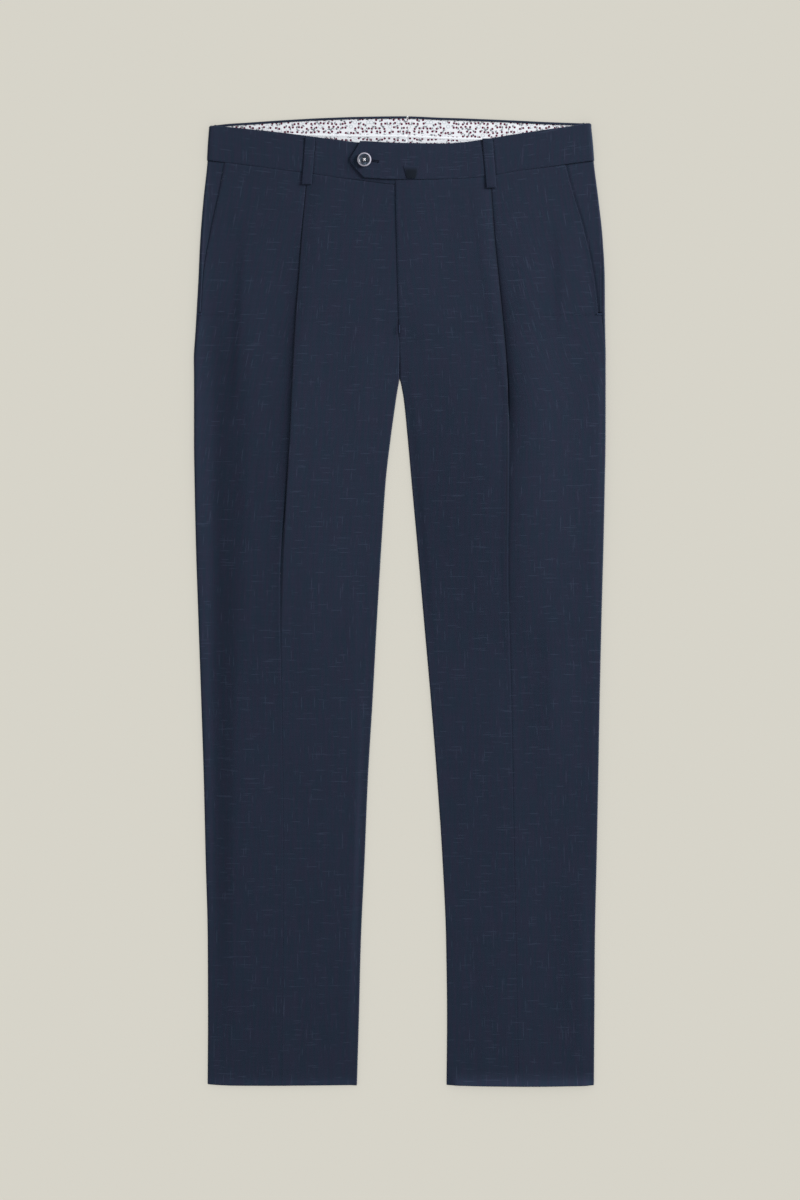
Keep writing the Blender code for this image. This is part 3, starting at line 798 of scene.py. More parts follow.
def back_section(side, y, actual, cloth):
    """(out, z) across a back panel: flat on the floor, its edges turned up at both seams."""
    bottom = cloth.wall / 2
    flat_edge = SIDES[side] * CENTRE.at("centre_back", y) + CENTRE_GAP / 2
    inseam = [-arc for arc in turned_arcs(cloth.seam_gap, cloth.wall)]
    points = inner_edge(side, y, flat_edge, bottom, inseam, cloth)
    over = seam_over(side, y) - cloth.seam_gap
    top = side_top(side, y)
    low = -turned_arcs(cloth.seam_gap, cloth.wall, top)[-1]
    arcs = [low] + steps(low, over, BACK_SEAM_COLUMNS)
    turned = [side_turn(arc, LEG.at("side_" + side, actual), top, cloth.wall) for arc in arcs]
    points += [(out, bottom) for out in steps(points[-1][0], turned[0][0], BACK_COLUMNS)[:-1]]
    return points + turned


def relief(side, out, y):
    """Height that the soft troughs and ridges add to the front at a row's points."""
    total = np.zeros(len(out))
    for out_a, y_a, out_b, y_b, outer, inner, height, peak in FOLDS[side]:
        along = (y_a - y) / (y_a - y_b)
        if 0.0 < along < 1.0:
            strength = math.sin(math.pi * along ** (math.log(0.5) / math.log(peak)))
            away = out - mix(out_a, out_b, along)
            away = away / np.where(away > 0, outer, inner)
            total += height * strength * np.exp(-away * away)
    return total


def rumple(side, out, y, cloth):
    """Soft unevenness of cloth that has been pressed and handled, longer down the leg."""
    total = np.zeros(len(out))
    for share, across, down, seed in RUMPLE_SIZES:
        bumps = [noise.noise(Vector((at / across, y / down, RUMPLE_SEED[side] + seed))) for at in out]
        total += share * cloth.rumple * np.array(bumps)
    return total


def tangents(points):
    """Unit directions along a row of points."""
    ahead = np.gradient(points, axis=0)
    return ahead / np.linalg.norm(ahead, axis=1)[:, None]


def inward(points, sign):
    """Unit directions to the inside of the garment: sign is 1 where that is left of travel."""
    ahead = tangents(points)
    return sign * np.stack([-ahead[:, 1], ahead[:, 0]], axis=1)


def travel(points):
    """Distance along a row of points, from the first."""
    return np.concatenate([[0.0], np.cumsum(np.linalg.norm(np.diff(points, axis=0), axis=1))])


def groove(distance, cloth):
    """How far a seam draws the cloth in at a distance from the seam."""
    return cloth.groove * np.exp(-((distance / cloth.groove_width) ** 2))


def row_height(y, seam, hem):
    """Height of a panel's row where the waist seam lies at `seam`: level rows below the hip."""
    waist_share = np.clip((y - WAIST_EASE) / (WAIST_ROW - WAIST_EASE), 0.0, 1.0)
    return y + (seam - WAIST_ROW) * waist_share + hem * ease(HEM_EASE, HEM, y)


def panel_rows(cloth):
    """(y, inset) of a panel's rows: down the leg, then over the hem and up inside it."""
    rows = [(WAIST_ROW - distance, 0.0) for distance in LEG_NEAR]
    turn = cloth.wall / 2 + HEM_GAP
    level_rows = [*steps(WAIST_ROW - LEG_NEAR[-1], HEM + turn, LEG_ROWS), *POCKET_ROWS]
    rows += [(y, 0.0) for y in sorted(level_rows, reverse=True)]
    for angle in steps(0.0, math.pi, HEM_ROWS[0]):
        rows.append((HEM + turn - turn * math.sin(angle), turn * (1 - math.cos(angle))))
    rows += [(y, 2 * turn) for y in steps(HEM + turn, HEM + HEM_TURNED, HEM_ROWS[1])]
    return rows


# ---------------------------------------------------------------- sheets


class Sheet:
    """A cloth's middle surface: points[row, column] in millimetres, and its grain beside it."""

    def __init__(self, rows):
        self.points = np.array([[point[:3] for point in row] for row in rows], float)
        self.grain = np.array([[point[3:] for point in row] for row in rows], float)


def finish_sheet(name, sheet, wall, material, rim=0.18, bands=()):
    """A closed wall round a sheet, with rounded edges. `bands` is the last row of the first
    material, and a second one for the rows above.
    """
    rows, columns = sheet.points.shape[:2]
    grid = bmesh.new()
    bmesh.ops.create_grid(grid, x_segments=columns - 1, y_segments=rows - 1, size=0.5)
    grain = grid.loops.layers.uv.new("Grain")
    place = {}
    for vert in grid.verts:
        column = round((vert.co.x + 0.5) * (columns - 1))
        row = round((vert.co.y + 0.5) * (rows - 1))
        place[vert] = (row, column)
        vert.co = Vector(sheet.points[row, column]) * MM
    for face in grid.faces:
        face.smooth = True
        if bands and max(place[vert][0] for vert in face.verts) > bands[0]:
            face.material_index = 1
        for loop in face.loops:
            loop[grain].uv = sheet.grain[place[loop.vert]] * MM
    made = finish_mesh(name, grid, [material, *bands[1:]])
    solidify = made.modifiers.new("Wall", "SOLIDIFY")
    solidify.thickness = wall * MM
    solidify.offset = 0.0
    rounding = made.modifiers.new("Rounded edges", "BEVEL")
    rounding.width = rim * MM
    rounding.segments = 2
    rounding.limit_method = "ANGLE"
    rounding.angle_limit = math.radians(50)
    rounding.use_clamp_overlap = False
    return made


def finish_mesh(name, mesh_data, materials):
    """An object from a bmesh whose coordinates are in metres, riding on the only body."""
    name += "_made"
    mesh = bpy.data.meshes.new(name)
    mesh_data.to_mesh(mesh)
    mesh_data.free()
    for material in materials:
        mesh.materials.append(material)
    made = bpy.data.objects.new(name, mesh)
    bpy.context.scene.collection.objects.link(made)
    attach(made, BODY)
    return made


def mirrored(side, sheet):
    sheet.points[:, :, 0] *= SIDES[side]
    return sheet


def front_sheet(side, cloth):
    rows = []
    for y, inset in panel_rows(cloth):
        at = max(y, HEM)
        section, fold_at = front_section(side, at, cloth)
        points = np.array(section)
        along = travel(points)
        from_end = along[-1] - along
        sunk = groove(along, cloth)
        pocketed = ease(*POCKET_RUNOUT, at)
        sunk += groove(from_end, cloth) * mix(1.0, POCKET_ROLL[side], pocketed)
        fade = ease(*EDGE_FADE, along) * ease(*EDGE_FADE, from_end)
        lift = relief(side, points[:, 0], at) + rumple(side, points[:, 0], at, cloth)
        away = np.abs(points[:, 0] - PLEAT.at("out_" + side, at))
        lift += PLEAT.at("crease", at) * np.exp(-away / CREASE_RUN)
        lift += HEM_FLARE[side] * ease(*HEM_FLARE_FROM, at)
        points = points + inward(points, -1.0) * (inset + sunk)[:, None]
        out = points[:, 0]
        z = points[:, 1] + lift * fade - groove(WAIST_ROW - at, cloth)
        if side == "left":
            z = z + fly_raise(out, at, cloth.wall + FLY_CLEAR)
        hem = HEM_LINE.at(side, out)
        height = row_height(y, WAIST.at("seam_" + side, out) - cloth.seam_gap / 2, hem)
        grain_u = along - along[fold_at] + GRAIN_APART[side]
        rows.append(np.stack([out, height, z, grain_u, np.full(len(out), y)], axis=1))
    return mirrored(side, Sheet(rows))


def back_sheet(side, cloth):
    rows = []
    for y, inset in panel_rows(cloth):
        at = max(y, HEM)
        actual = row_height(at, WAIST.at("back_seam", WAIST_SIDE), 0.0)
        points = np.array(back_section(side, at, actual, cloth))
        along = travel(points)
        sunk = groove(along, cloth) + groove(along[-1] - along, cloth)
        points = points + inward(points, 1.0) * (inset + sunk)[:, None]
        out = points[:, 0]
        z = points[:, 1] + groove(WAIST_ROW - at, cloth)
        hem = HEM_LINE.at(side, out)
        height = row_height(y, WAIST.at("back_seam", out) - cloth.seam_gap / 2, hem)
        grain_u = along - along[-1] / 2 + GRAIN_APART[side]
        rows.append(np.stack([out, height, z, grain_u, np.full(len(out), y)], axis=1))
    return mirrored(side, Sheet(rows))


def facing_puff(side, out, y):
    """How much the puffed side fold still lifts the cloth at `out`."""
    inside = min(0.0, out - LEG.at("side_" + side, y) + PUFF_CREST)
    return PUFF.at(side, y) * math.exp(inside / PUFF_RUN[side])


def facing_top(side, out, y):
    """Height of the facing's middle: it dips a little beside the pocket's edge."""
    beside = (out - POCKET.at(side, y) - FACING_DIP_AT) / FACING_DIP_WIDTH
    return side_level(y) + facing_puff(side, out, y) - FACING_DIP[side] * math.exp(-beside * beside)


def facing_sheet(side, cloth):
    """The pocket's facing: under the front's slanted edge, and out to the side seam."""
    rows = []
    heights = [WAIST_ROW - distance for distance in FACING_NEAR]
    for y in heights + steps(heights[-1], POCKET_END, FACING_ROWS):
        actual = row_height(y, WAIST.at("seam_" + side, WAIST_SIDE), 0.0)
        shift = seam_over(side, y)
        top = side_top(side, y)
        arcs = turned_arcs(shift + cloth.seam_gap, cloth.wall, top, SEAM_COLUMNS)[::-1]
        turned = [side_turn(arc, LEG.at("side_" + side, actual), top, cloth.wall) for arc in arcs]
        begin, end = POCKET.at(side, y) - FACING_LAP, turned[0][0]
        section = []
        for out in [begin] + steps(begin, end, FACING_COLUMNS)[:-1]:
            settled = ease(*FACING_SETTLED, end - out)
            section.append((out, mix(top, facing_top(side, out, y), settled)))
        points = np.array(section + turned)
        along = travel(points)
        sunk = groove(along[-1] - along, cloth)
        points = points + inward(points, -1.0) * sunk[:, None]
        out = points[:, 0]
        height = row_height(y, WAIST.at("seam_" + side, out) - cloth.seam_gap / 2, 0.0)
        height = np.maximum(height, POCKET_END + FACING_BELOW)
        z = points[:, 1] - groove(WAIST_ROW - y, cloth)
        rows.append(np.stack([out, height, z, out, np.full(len(out), y)], axis=1))
    return mirrored(side, Sheet(rows))


# ---------------------------------------------------------------- waistband and lining


def band_path(side, cloth):
    """(out, z, share of front) along a waistband, from the centre back to its front end."""
    bottom = cloth.band_wall / 2
    reach = LEG.at("side_" + side, BAND_ROW)
    start = SIDES[side] * CENTRE.at("centre_back", BAND_MIDDLE) + cloth.seam_gap / 2
    half = math.pi / 2 * (FRONT - bottom) / 2
    middle = reach - min((FRONT - bottom) / 2, FOLD_WIDTH) - cloth.band_wall / 2
    outs = [start + distance for distance in CENTRE_NEAR]
    outs += steps(outs[-1], BAND_BEND, BAND_COLUMNS)
    outs += steps(BAND_BEND, middle, BAND_BEND_COLUMNS)
    path = [(out, bottom, 0.0) for out in outs]
    for arc in steps(-half, half, BAND_FOLD_COLUMNS):
        out, z = side_turn(arc, reach, FRONT, cloth.band_wall)
        path.append((out, z, (arc + half) / (2 * half)))
    stop = FLY_RAISE[0] if side == "left" else -WAISTBAND_LAP
    loop = sum(BELT_LOOPS[side][:2]) / 2
    outs = steps(path[-1][0], stop, BAND_COLUMNS)
    outs += steps(loop - LOOP_NEAR, loop + LOOP_NEAR, BAND_LOOP_COLUMNS)
    path += [(out, FRONT, 1.0) for out in sorted(outs, reverse=True)]
    if side == "left":
        for out in steps(stop, -TAB_CORNERS[1] + 1.0, TAB_COLUMNS):
            path.append((out, FRONT + fly_raise(out, WAIST_ROW), 1.0))
    return path


def rolled_edge(crest, rolled, wall, count=10):
    """(y, lift) over the waistband's top edge: straight where `rolled` is 0, turned over at 1."""
    depth = mix(ROLL_EDGE, ROLL_DEPTH, rolled)
    arc_length = math.pi * (wall + ROLL_GAP) / 2
    bends = [i / count for i in range(count + 1)]
    if rolled < ROLL_LEAST:
        flat = [(crest - depth - arc_length * (1.0 - bend), 0.0) for bend in bends]
        return flat + [(crest, 0.0)]
    turn = math.pi * rolled
    radius = arc_length / turn
    reach = radius + wall / 2
    if turn < math.pi / 2:
        reach = radius * math.sin(turn) + depth * math.cos(turn)
    points = []
    for bend in bends:
        angle = turn * bend
        points.append((crest - reach + radius * math.sin(angle), radius * (1 - math.cos(angle))))
    y, lift = points[-1]
    return points + [(y + depth * math.cos(turn), lift + depth * math.sin(turn))]


def tab_end(column, share):
    """How far out the tab's end lies: two corners and a softly rounded point between them."""
    corner = mix(-TAB_CORNERS[1], -TAB_CORNERS[0], share)
    slope = math.sqrt((2 * (share - TAB_MIDDLE)) ** 2 + TAB_SOFTNESS**2) - TAB_SOFTNESS
    tip = mix(-TAB_POINT, corner - TAB_SHOULDER, min(1.0, slope / (1.0 - TAB_SOFTNESS)))
    return mix(corner + 1.0, tip, column)


def beside_loop(side, out, y):
    """How deep the waistband is pressed in along both sides of its belt loop."""
    top_out, bottom_out, top, bottom = BELT_LOOPS[side]
    middle = mix(bottom_out, top_out, (y - bottom) / (top - bottom))
    beside = (abs(out - middle) - LOOP_WIDTH / 2 - LOOP_PRESS_AT) / LOOP_PRESS_WIDTH
    return LOOP_PRESS * math.exp(-beside * beside)


def band_sheet(side, cloth):
    """A half of the waistband; at the back its top edge is rolled over to the inside."""
    path = band_path(side, cloth)
    line = np.array([(out, z) for out, z, _ in path])
    along = travel(line)
    inside = inward(line, 1.0)
    end = line[:, 0].max()
    columns = []
    for number, (out, z, front) in enumerate(path):
        base = mix(WAIST.at("back_seam", out), WAIST.at("seam_" + side, out), front) + cloth.seam_gap / 2
        crest = mix(WAIST.at("back_" + side, out), WAIST.at("top_" + side, out), front)
        crest -= CORNER_DROP * math.exp(-(((out - end) / CORNER_REACH) ** 2))
        rolled = ease(*ROLL_FADE, out) if front == 0.0 else 0.0
        edge = rolled_edge(crest, rolled, cloth.band_wall)
        heights = [base + distance for distance in BAND_NEAR]
        heights += steps(heights[-1], edge[0][0], BAND_ROWS)[:-1]
        points = [(y, groove(y - base, cloth)) for y in heights] + edge
        notch = NOTCH * ease(NOTCH_REACH, 0.0, out - path[0][0]) if front == 0.0 else 0.0
        column = []
        for y, lift in points:
            swell = BAND_SWELL * front * math.sin(math.pi * min(1.0, (y - base) / (crest - base)))
            pressed = beside_loop(side, out, y) if front == 1.0 else 0.0
            pressed -= PUFF.at(side, BAND_PUFF_ROW) * math.exp((out - end) / PUFF_RUN[side]) * front
            if side == "left":
                pressed -= TAB_LIFT * ease(*TAB_LIFT_FROM, out) * math.exp(-(y - base) / TAB_LIFT_RUN)
            at = line[number] + inside[number] * (lift - swell + pressed)
            parted = notch * ease(*NOTCH_FROM, crest - y)
            wider = LEG.at("side_" + side, y) - LEG.at("side_" + side, BAND_ROW)
            parted += wider * ease(BAND_BEND, end, out)
            across = along[number] + GRAIN_APART[side]
            column.append((at[0] + parted, y, at[1], across, y - base + lift))
        columns.append(column)
    if side == "left":
        columns += tab_columns(path[-1], along[-1], columns[-1])
    return mirrored(side, Sheet(np.array(columns).transpose(1, 0, 2)))


def tab_columns(last, along, column):
    """The tab's pointed end, as columns past the last straight one."""
    out, z, _ = last
    low, high = column[0][1], column[-1][1]
    made = []
    for share in steps(0.0, 1.0, TAB_END_COLUMNS):
        points = []
        for point in column:
            reach = tab_end(share, (point[1] - low) / (high - low))
            points.append((reach, point[1], point[2], along + out - reach, point[4]))
        made.append(points)
    return made


def lining_sheet(side, cloth):
    """The printed strip inside the back waistband, below its rolled edge. A sliver of it stands
    over the edge in the notch at the centre back.
    """
    sign = SIDES[side]
    start = sign * CENTRE.at("centre_back", LINING_MIDDLE) + cloth.seam_gap / 4
    outs = [start, *[start + distance for distance in LINING_STRIP]]
    outs += steps(outs[-1], LINING_END, STRIP_COLUMNS)
    columns = []
    for out in outs:
        rolled = ease(*ROLL_FADE, out)
        crest = WAIST.at("back_" + side, out)
        below_roll = cloth.band_wall / 2 + (cloth.band_wall + ROLL_GAP) / 2 + ROLL_DEPTH * rolled
        top = crest - below_roll + LINING_TUCK
        if out <= outs[1]:
            top = crest + LINING_STRIP_TOP
        bottom = RIDGE.at("height", sign * out) - RIDGE_DROP
        heights = [bottom] + steps(bottom, top, STRIP_ROWS)
        columns.append([(out, y, level(1) - LINING_SINK, out, y) for y in heights])
    return mirrored(side, Sheet(np.array(columns).transpose(1, 0, 2)))


def curtain_sheet(side, cloth):
    """The lining's lower strip, its top edge folded over the lower edge of the printed one."""
    sign = SIDES[side]
    start = sign * CENTRE.at("centre_back", CURTAIN_MIDDLE) + cloth.seam_gap / 4
    columns = []
    for out in [start] + steps(start, CURTAIN_END, STRIP_COLUMNS):
        top = RIDGE.at("height", sign * out)
        heights = steps(top - CURTAIN_DEPTH, top - RIDGE_BAND, STRIP_ROWS)
        heights = [top - CURTAIN_DEPTH] + heights + steps(top - RIDGE_BAND, top, STRIP_ROWS)
        column = []
        for y in heights:
            band = np.clip((y - top + RIDGE_BAND) / RIDGE_BAND, 0.0, 1.0)
            bulge = RIDGE_BULGE * math.sqrt(max(0.0, 1.0 - (2 * band - 1) ** 2)) if band > 0 else 0.0
            z = level(2) - CURTAIN_SINK + bulge - CURTAIN_TUCK * band**6
            column.append((out, y, z, out, y + CURTAIN_GRAIN))
        columns.append(column)
    return mirrored(side, Sheet(np.array(columns).transpose(1, 0, 2)))


# ---------------------------------------------------------------- belt loops and keeper


def loop_sheet(side, top_out, bottom_out, top, bottom):
    """A strip over the waistband, with both ends folded under where they are sewn."""
    low = FRONT + LOOP_SEAT
    high = low + LOOP_WALL + LOOP_CLEAR
    bend = (high - low) / 2
    profile = [(y, low) for y in (bottom + LOOP_FOLD, bottom + LOOP_FOLD_ROW * LOOP_FOLD, bottom + bend)]
    for angle in steps(0.0, math.pi, LOOP_BEND_ROWS)[:-1]:
        profile.append((bottom + bend - bend * math.sin(angle), low + bend - bend * math.cos(angle)))
    shares = [0.0, *steps(0.0, 1.0, LOOP_ROWS)]
    profile += [(mix(bottom + bend, top - bend, share), high) for share in shares]
    for angle in steps(0.0, math.pi, LOOP_BEND_ROWS)[:-1]:
        profile.append((top - bend + bend * math.sin(angle), low + bend + bend * math.cos(angle)))
    profile += [(y, low) for y in (top - bend, top - LOOP_FOLD_ROW * LOOP_FOLD, top - LOOP_FOLD)]
    along = travel(np.array(profile))
    rows = []
    for (y, z), distance in zip(profile, along):
        middle = mix(bottom_out, top_out, (y - bottom) / (top - bottom))
        sag = LOOP_SAG * math.sin(math.pi * (y - bottom) / (top - bottom)) ** 0.5 if z == high else 0.0
        row = []
        for across in np.linspace(-1.0, 1.0, LOOP_COLUMNS):
            crown = LOOP_CROWN * (1.0 - across**2) if z == high else 0.0
            offset = LOOP_WIDTH / 2 * across
            row.append((middle + offset, y, z + crown - sag, offset + LOOP_GRAIN, distance))
        rows.append(row)
    return mirrored(side, Sheet(rows))


def keeper_sheet():
    """A small loop for the belt's prong, flat on the left waistband above the fly."""
    base = WAIST.at("seam_left", KEEPER_OUT) + KEEPER_UP
    rows = []
    for share in np.linspace(0.0, 1.0, KEEPER_CELLS):
        row = []
        for across in np.linspace(-1.0, 1.0, KEEPER_CELLS):
            out = KEEPER_OUT + mix(*KEEPER_WIDTHS, share) / 2 * across
            carried = FRONT + LAYER * ease(*FLY_RAISE, out)
            crown = KEEPER_CROWN * (1 - across**2) * (1 - abs(2 * share - 1) ** 3)
            grain = (out - KEEPER_OUT, KEEPER_HEIGHT * share)
            row.append((out, base + KEEPER_HEIGHT * share, carried + KEEPER_SEAT + crown, *grain))
        rows.append(row)
    return Sheet(rows)


# ---------------------------------------------------------------- materials


def add_node(tree, kind, inputs=None, **settings):
    """One shader node. `kind` may end with an operation. An input is a value, a node (its first
    output) or (node, output).
    """
    kind, _, operation = kind.partition(" ")
    made = tree.nodes.new("ShaderNode" + kind)
    if operation:
        made.operation = operation
    for name, value in settings.items():
        setattr(made, name, value)
    for name, value in (inputs or {}).items():
        if isinstance(value, bpy.types.Node):
            tree.links.new(value.outputs[0], made.inputs[name])
        elif isinstance(value, tuple) and isinstance(value[0], bpy.types.Node):
            tree.links.new(value[0].outputs[value[1]], made.inputs[name])
        else:
            made.inputs[name].default_value = value
    return made


def new_material(name, **shader_values):
    """A material with its Principled shader's fixed values, and its node tree."""
    made = bpy.data.materials.new(name)
    made.use_nodes = True
    shader = made.node_tree.nodes["Principled BSDF"]
    for socket, value in shader_values.items():
        shader.inputs[socket.replace("_", " ")].default_value = value
    return made, made.node_tree, shader


def rgba(values):
    return (*values, 1.0)


def scale_of(size):
    """The scale at which a pattern's own unit is `size` millimetres long."""
    return 1.0 / (size * MM)


def thread_mask(tree, across, along, width, run, low, high):
    """Streaks along a thread direction: 1 on a thick place of a thread, 0 elsewhere."""
    number = add_node(tree, "Math MULTIPLY", {0: across, 1: 1.0 / width})
    thread = add_node(tree, "Math FLOOR", {0: number})
    place = add_node(tree, "Math MULTIPLY", {0: thread, 1: THREAD_APART})
    run_at = add_node(tree, "Math MULTIPLY", {0: along, 1: 1.0 / run})
    point = add_node(tree, "CombineXYZ", {0: place, 1: run_at})
    grain = add_node(tree, "TexNoise", {"Vector": point, "Scale": 1.0, "Detail": 1.0}, noise_dimensions="2D")
    limits = {"Value": grain, "From Min": low, "From Max": high}
    return add_node(tree, "MapRange", limits, interpolation_type="SMOOTHSTEP")


def suiting_material(cloth, colours):
    """Plain-woven wool and linen suiting in navy. Wool takes the dye deep and even, linen's uneven yarn
    leaves paler slubs both ways, and the pile gives a faint sheen at low angles. Painted shade darkens its
    colour along the pleats' folds, and painted light lightens it at the hem's edge.
    """
    sheen = {"Sheen_Weight": 0.35, "Sheen_Roughness": 0.35}
    made, tree, shader = new_material("Wool linen suiting", Roughness=0.85, Specular_IOR_Level=0.15, **sheen)
    shader.inputs["Sheen Tint"].default_value = rgba(linear(NAP_BLUE))
    grain = add_node(tree, "UVMap", uv_map="Grain")
    split = add_node(tree, "SeparateXYZ", {0: grain})
    across, down = (split, 0), (split, 1)
    slub, run = cloth.slub * MM, cloth.slub_length * MM

    warp = thread_mask(tree, across, down, slub, run, *WARP_SLUBS)
    weft = thread_mask(tree, down, across, slub, run, *WEFT_SLUBS)
    slubs = add_node(tree, "Math MAXIMUM", {0: warp, 1: weft})
    slub, run = STREAK_SIZE[0] * slub, STREAK_SIZE[1] * run
    warp_tone = thread_mask(tree, across, down, slub, run, *STREAKS)
    weft_tone = thread_mask(tree, down, across, slub, run, *STREAKS)
    tone = add_node(tree, "Math ADD", {0: warp_tone, 1: weft_tone})
    scales = (scale_of(HUE_PATCH[0]), scale_of(HUE_PATCH[1]), 0.0)
    stretched = add_node(tree, "VectorMath MULTIPLY", {0: grain, 1: scales})
    patches = {"Vector": stretched, "Scale": 1.0, "Detail": 2.0}
    cloud = add_node(tree, "TexNoise", patches, noise_dimensions="2D")
    hue = add_node(tree, "MapRange", {"Value": cloud, "From Min": 0.35, "From Max": 0.65})
    dyed = add_node(tree, "Mix", {0: hue, 6: rgba(colours.teal), 7: rgba(colours.plum)}, data_type="RGBA")
    ground = {0: HUE_STRENGTH, 6: rgba(colours.navy), 7: (dyed, 2)}
    ground = add_node(tree, "Mix", ground, data_type="RGBA")
    limits = {"Value": tone, "From Min": 0.0, "From Max": 2.0, "To Min": 0.95, "To Max": 1.05}
    shade = add_node(tree, "MapRange", limits)
    shaded = add_node(tree, "VectorMath SCALE", {0: (ground, 2), 3: shade})
    strength = add_node(tree, "Math MULTIPLY", {0: slubs, 1: SLUB_STRENGTH})
    woven_look = add_node(tree, "Mix", {0: strength, 6: shaded, 7: rgba(colours.slub)}, data_type="RGBA")

    # Painted shade: along the pleats' folded edges the colour is drawn darker, fading out down the leg.
    sides = []
    for apart in GRAIN_APART.values():
        aside = add_node(tree, "Math SUBTRACT", {0: across, 1: apart * MM})
        sides.append(add_node(tree, "Math ABSOLUTE", {0: aside}))
    folded = add_node(tree, "Math MINIMUM", {0: sides[0], 1: sides[1]})
    limits = {"Value": folded, "From Min": FOLD_PAINTED_SHADE_FROM[0] * MM, "From Max": FOLD_PAINTED_SHADE_FROM[1] * MM}
    # This mask says where painted shade darkens the colour along the folds.
    pressed = add_node(tree, "MapRange", limits, interpolation_type="SMOOTHSTEP")
    limits = {"Value": down, "From Min": FOLD_PAINTED_SHADE_ROWS[0] * MM, "From Max": FOLD_PAINTED_SHADE_ROWS[1] * MM}
    above = add_node(tree, "MapRange", limits)
    pressed = add_node(tree, "Math MULTIPLY", {0: pressed, 1: above})
    painted_shade_and_light = add_node(tree, "MapRange", {"Value": pressed, "To Min": 1.0, "To Max": FOLD_PAINTED_SHADE})
    # Painted light: towards the hem's edge the colour is drawn lighter.
    limits = {"Value": down, "From Min": (HEM + HEM_PAINTED_LIGHT_WIDTH) * MM, "From Max": HEM * MM}
    hem = add_node(tree, "MapRange", {**limits, "To Min": 1.0, "To Max": HEM_PAINTED_LIGHT})
    painted_shade_and_light = add_node(tree, "Math MULTIPLY", {0: painted_shade_and_light, 1: hem})
    coloured = add_node(tree, "VectorMath SCALE", {0: (woven_look, 2), 3: painted_shade_and_light})
    tree.links.new(coloured.outputs[0], shader.inputs["Base Color"])

    # Over and under of the plain weave. Real threads of this cloth lie closer than cloth.thread:
    # the weave is drawn coarser, so that it doesn't shimmer.
    weave = []
    for axis in (across, down):
        turn = add_node(tree, "Math MULTIPLY", {0: axis, 1: math.pi / (cloth.thread * MM)})
        weave.append(add_node(tree, "Math SINE", {0: turn}))
    woven = add_node(tree, "Math MULTIPLY", {0: weave[0], 1: weave[1]})
    height = add_node(tree, "Math MULTIPLY_ADD", {0: slubs, 1: SLUB_HEIGHT, 2: woven})
    bump = add_node(tree, "Bump", {"Height": height, "Strength": 0.5, "Distance": 0.06 * MM})
    tree.links.new(bump.outputs[0], shader.inputs["Normal"])
    return made


def keeper_material(colours):
    """Tape with a fine rib, made nearly black by painted shade, which fades to the suiting's colour towards
    its side edges and its top.
    """
    made, tree, shader = new_material("Prong keeper tape with painted shade", Roughness=0.8, Specular_IOR_Level=0.15)
    grain = add_node(tree, "UVMap", uv_map="Grain")
    place = add_node(tree, "SeparateXYZ", {0: grain})
    aside = add_node(tree, "Math ABSOLUTE", {0: place})
    painted_shade_masks = []
    for value, (start, end) in zip((aside, (place, 1)), KEEPER_PAINTED_SHADE):
        limits = {"Value": value, "From Min": start * MM, "From Max": end * MM}
        painted_shade_masks.append(add_node(tree, "MapRange", limits, interpolation_type="SMOOTHSTEP"))
    # Painted shade: where both masks are 1, the tape is drawn in the keeper's near black.
    dark = add_node(tree, "Math MULTIPLY", {0: painted_shade_masks[0], 1: painted_shade_masks[1]})
    look = add_node(tree, "Mix", {0: dark, 6: rgba(colours.navy), 7: rgba(colours.keeper)}, data_type="RGBA")
    tree.links.new(look.outputs[2], shader.inputs["Base Color"])
    # At scale 1 the bands of a wave texture lie pi / 10 apart.
    ribs = {"Vector": grain, "Scale": math.pi / 10 * scale_of(TAPE_RIB), "Distortion": 0.4}
    rib = add_node(tree, "TexWave", ribs, bands_direction="Y")
    bump = add_node(tree, "Bump", {"Height": rib, "Strength": 0.4, "Distance": 0.1 * MM})
    tree.links.new(bump.outputs[0], shader.inputs["Normal"])
    return made


def lining_material(colours):
    """Plain white cotton lining, finely woven and a little crumpled."""
    made, tree, shader = new_material("White cotton lining", Roughness=0.75, Specular_IOR_Level=0.3)
    shader.inputs["Base Color"].default_value = rgba(colours.lining)
    grain = add_node(tree, "UVMap", uv_map="Grain")
    crumples = {"Vector": grain, "Scale": scale_of(LINING_CRUMPLE), "Detail": 3.0}
    crumple = add_node(tree, "TexNoise", crumples)
    bump = add_node(tree, "Bump", {"Height": crumple, "Strength": 0.35, "Distance": 0.4 * MM})
    tree.links.new(bump.outputs[0], shader.inputs["Normal"])
    return made


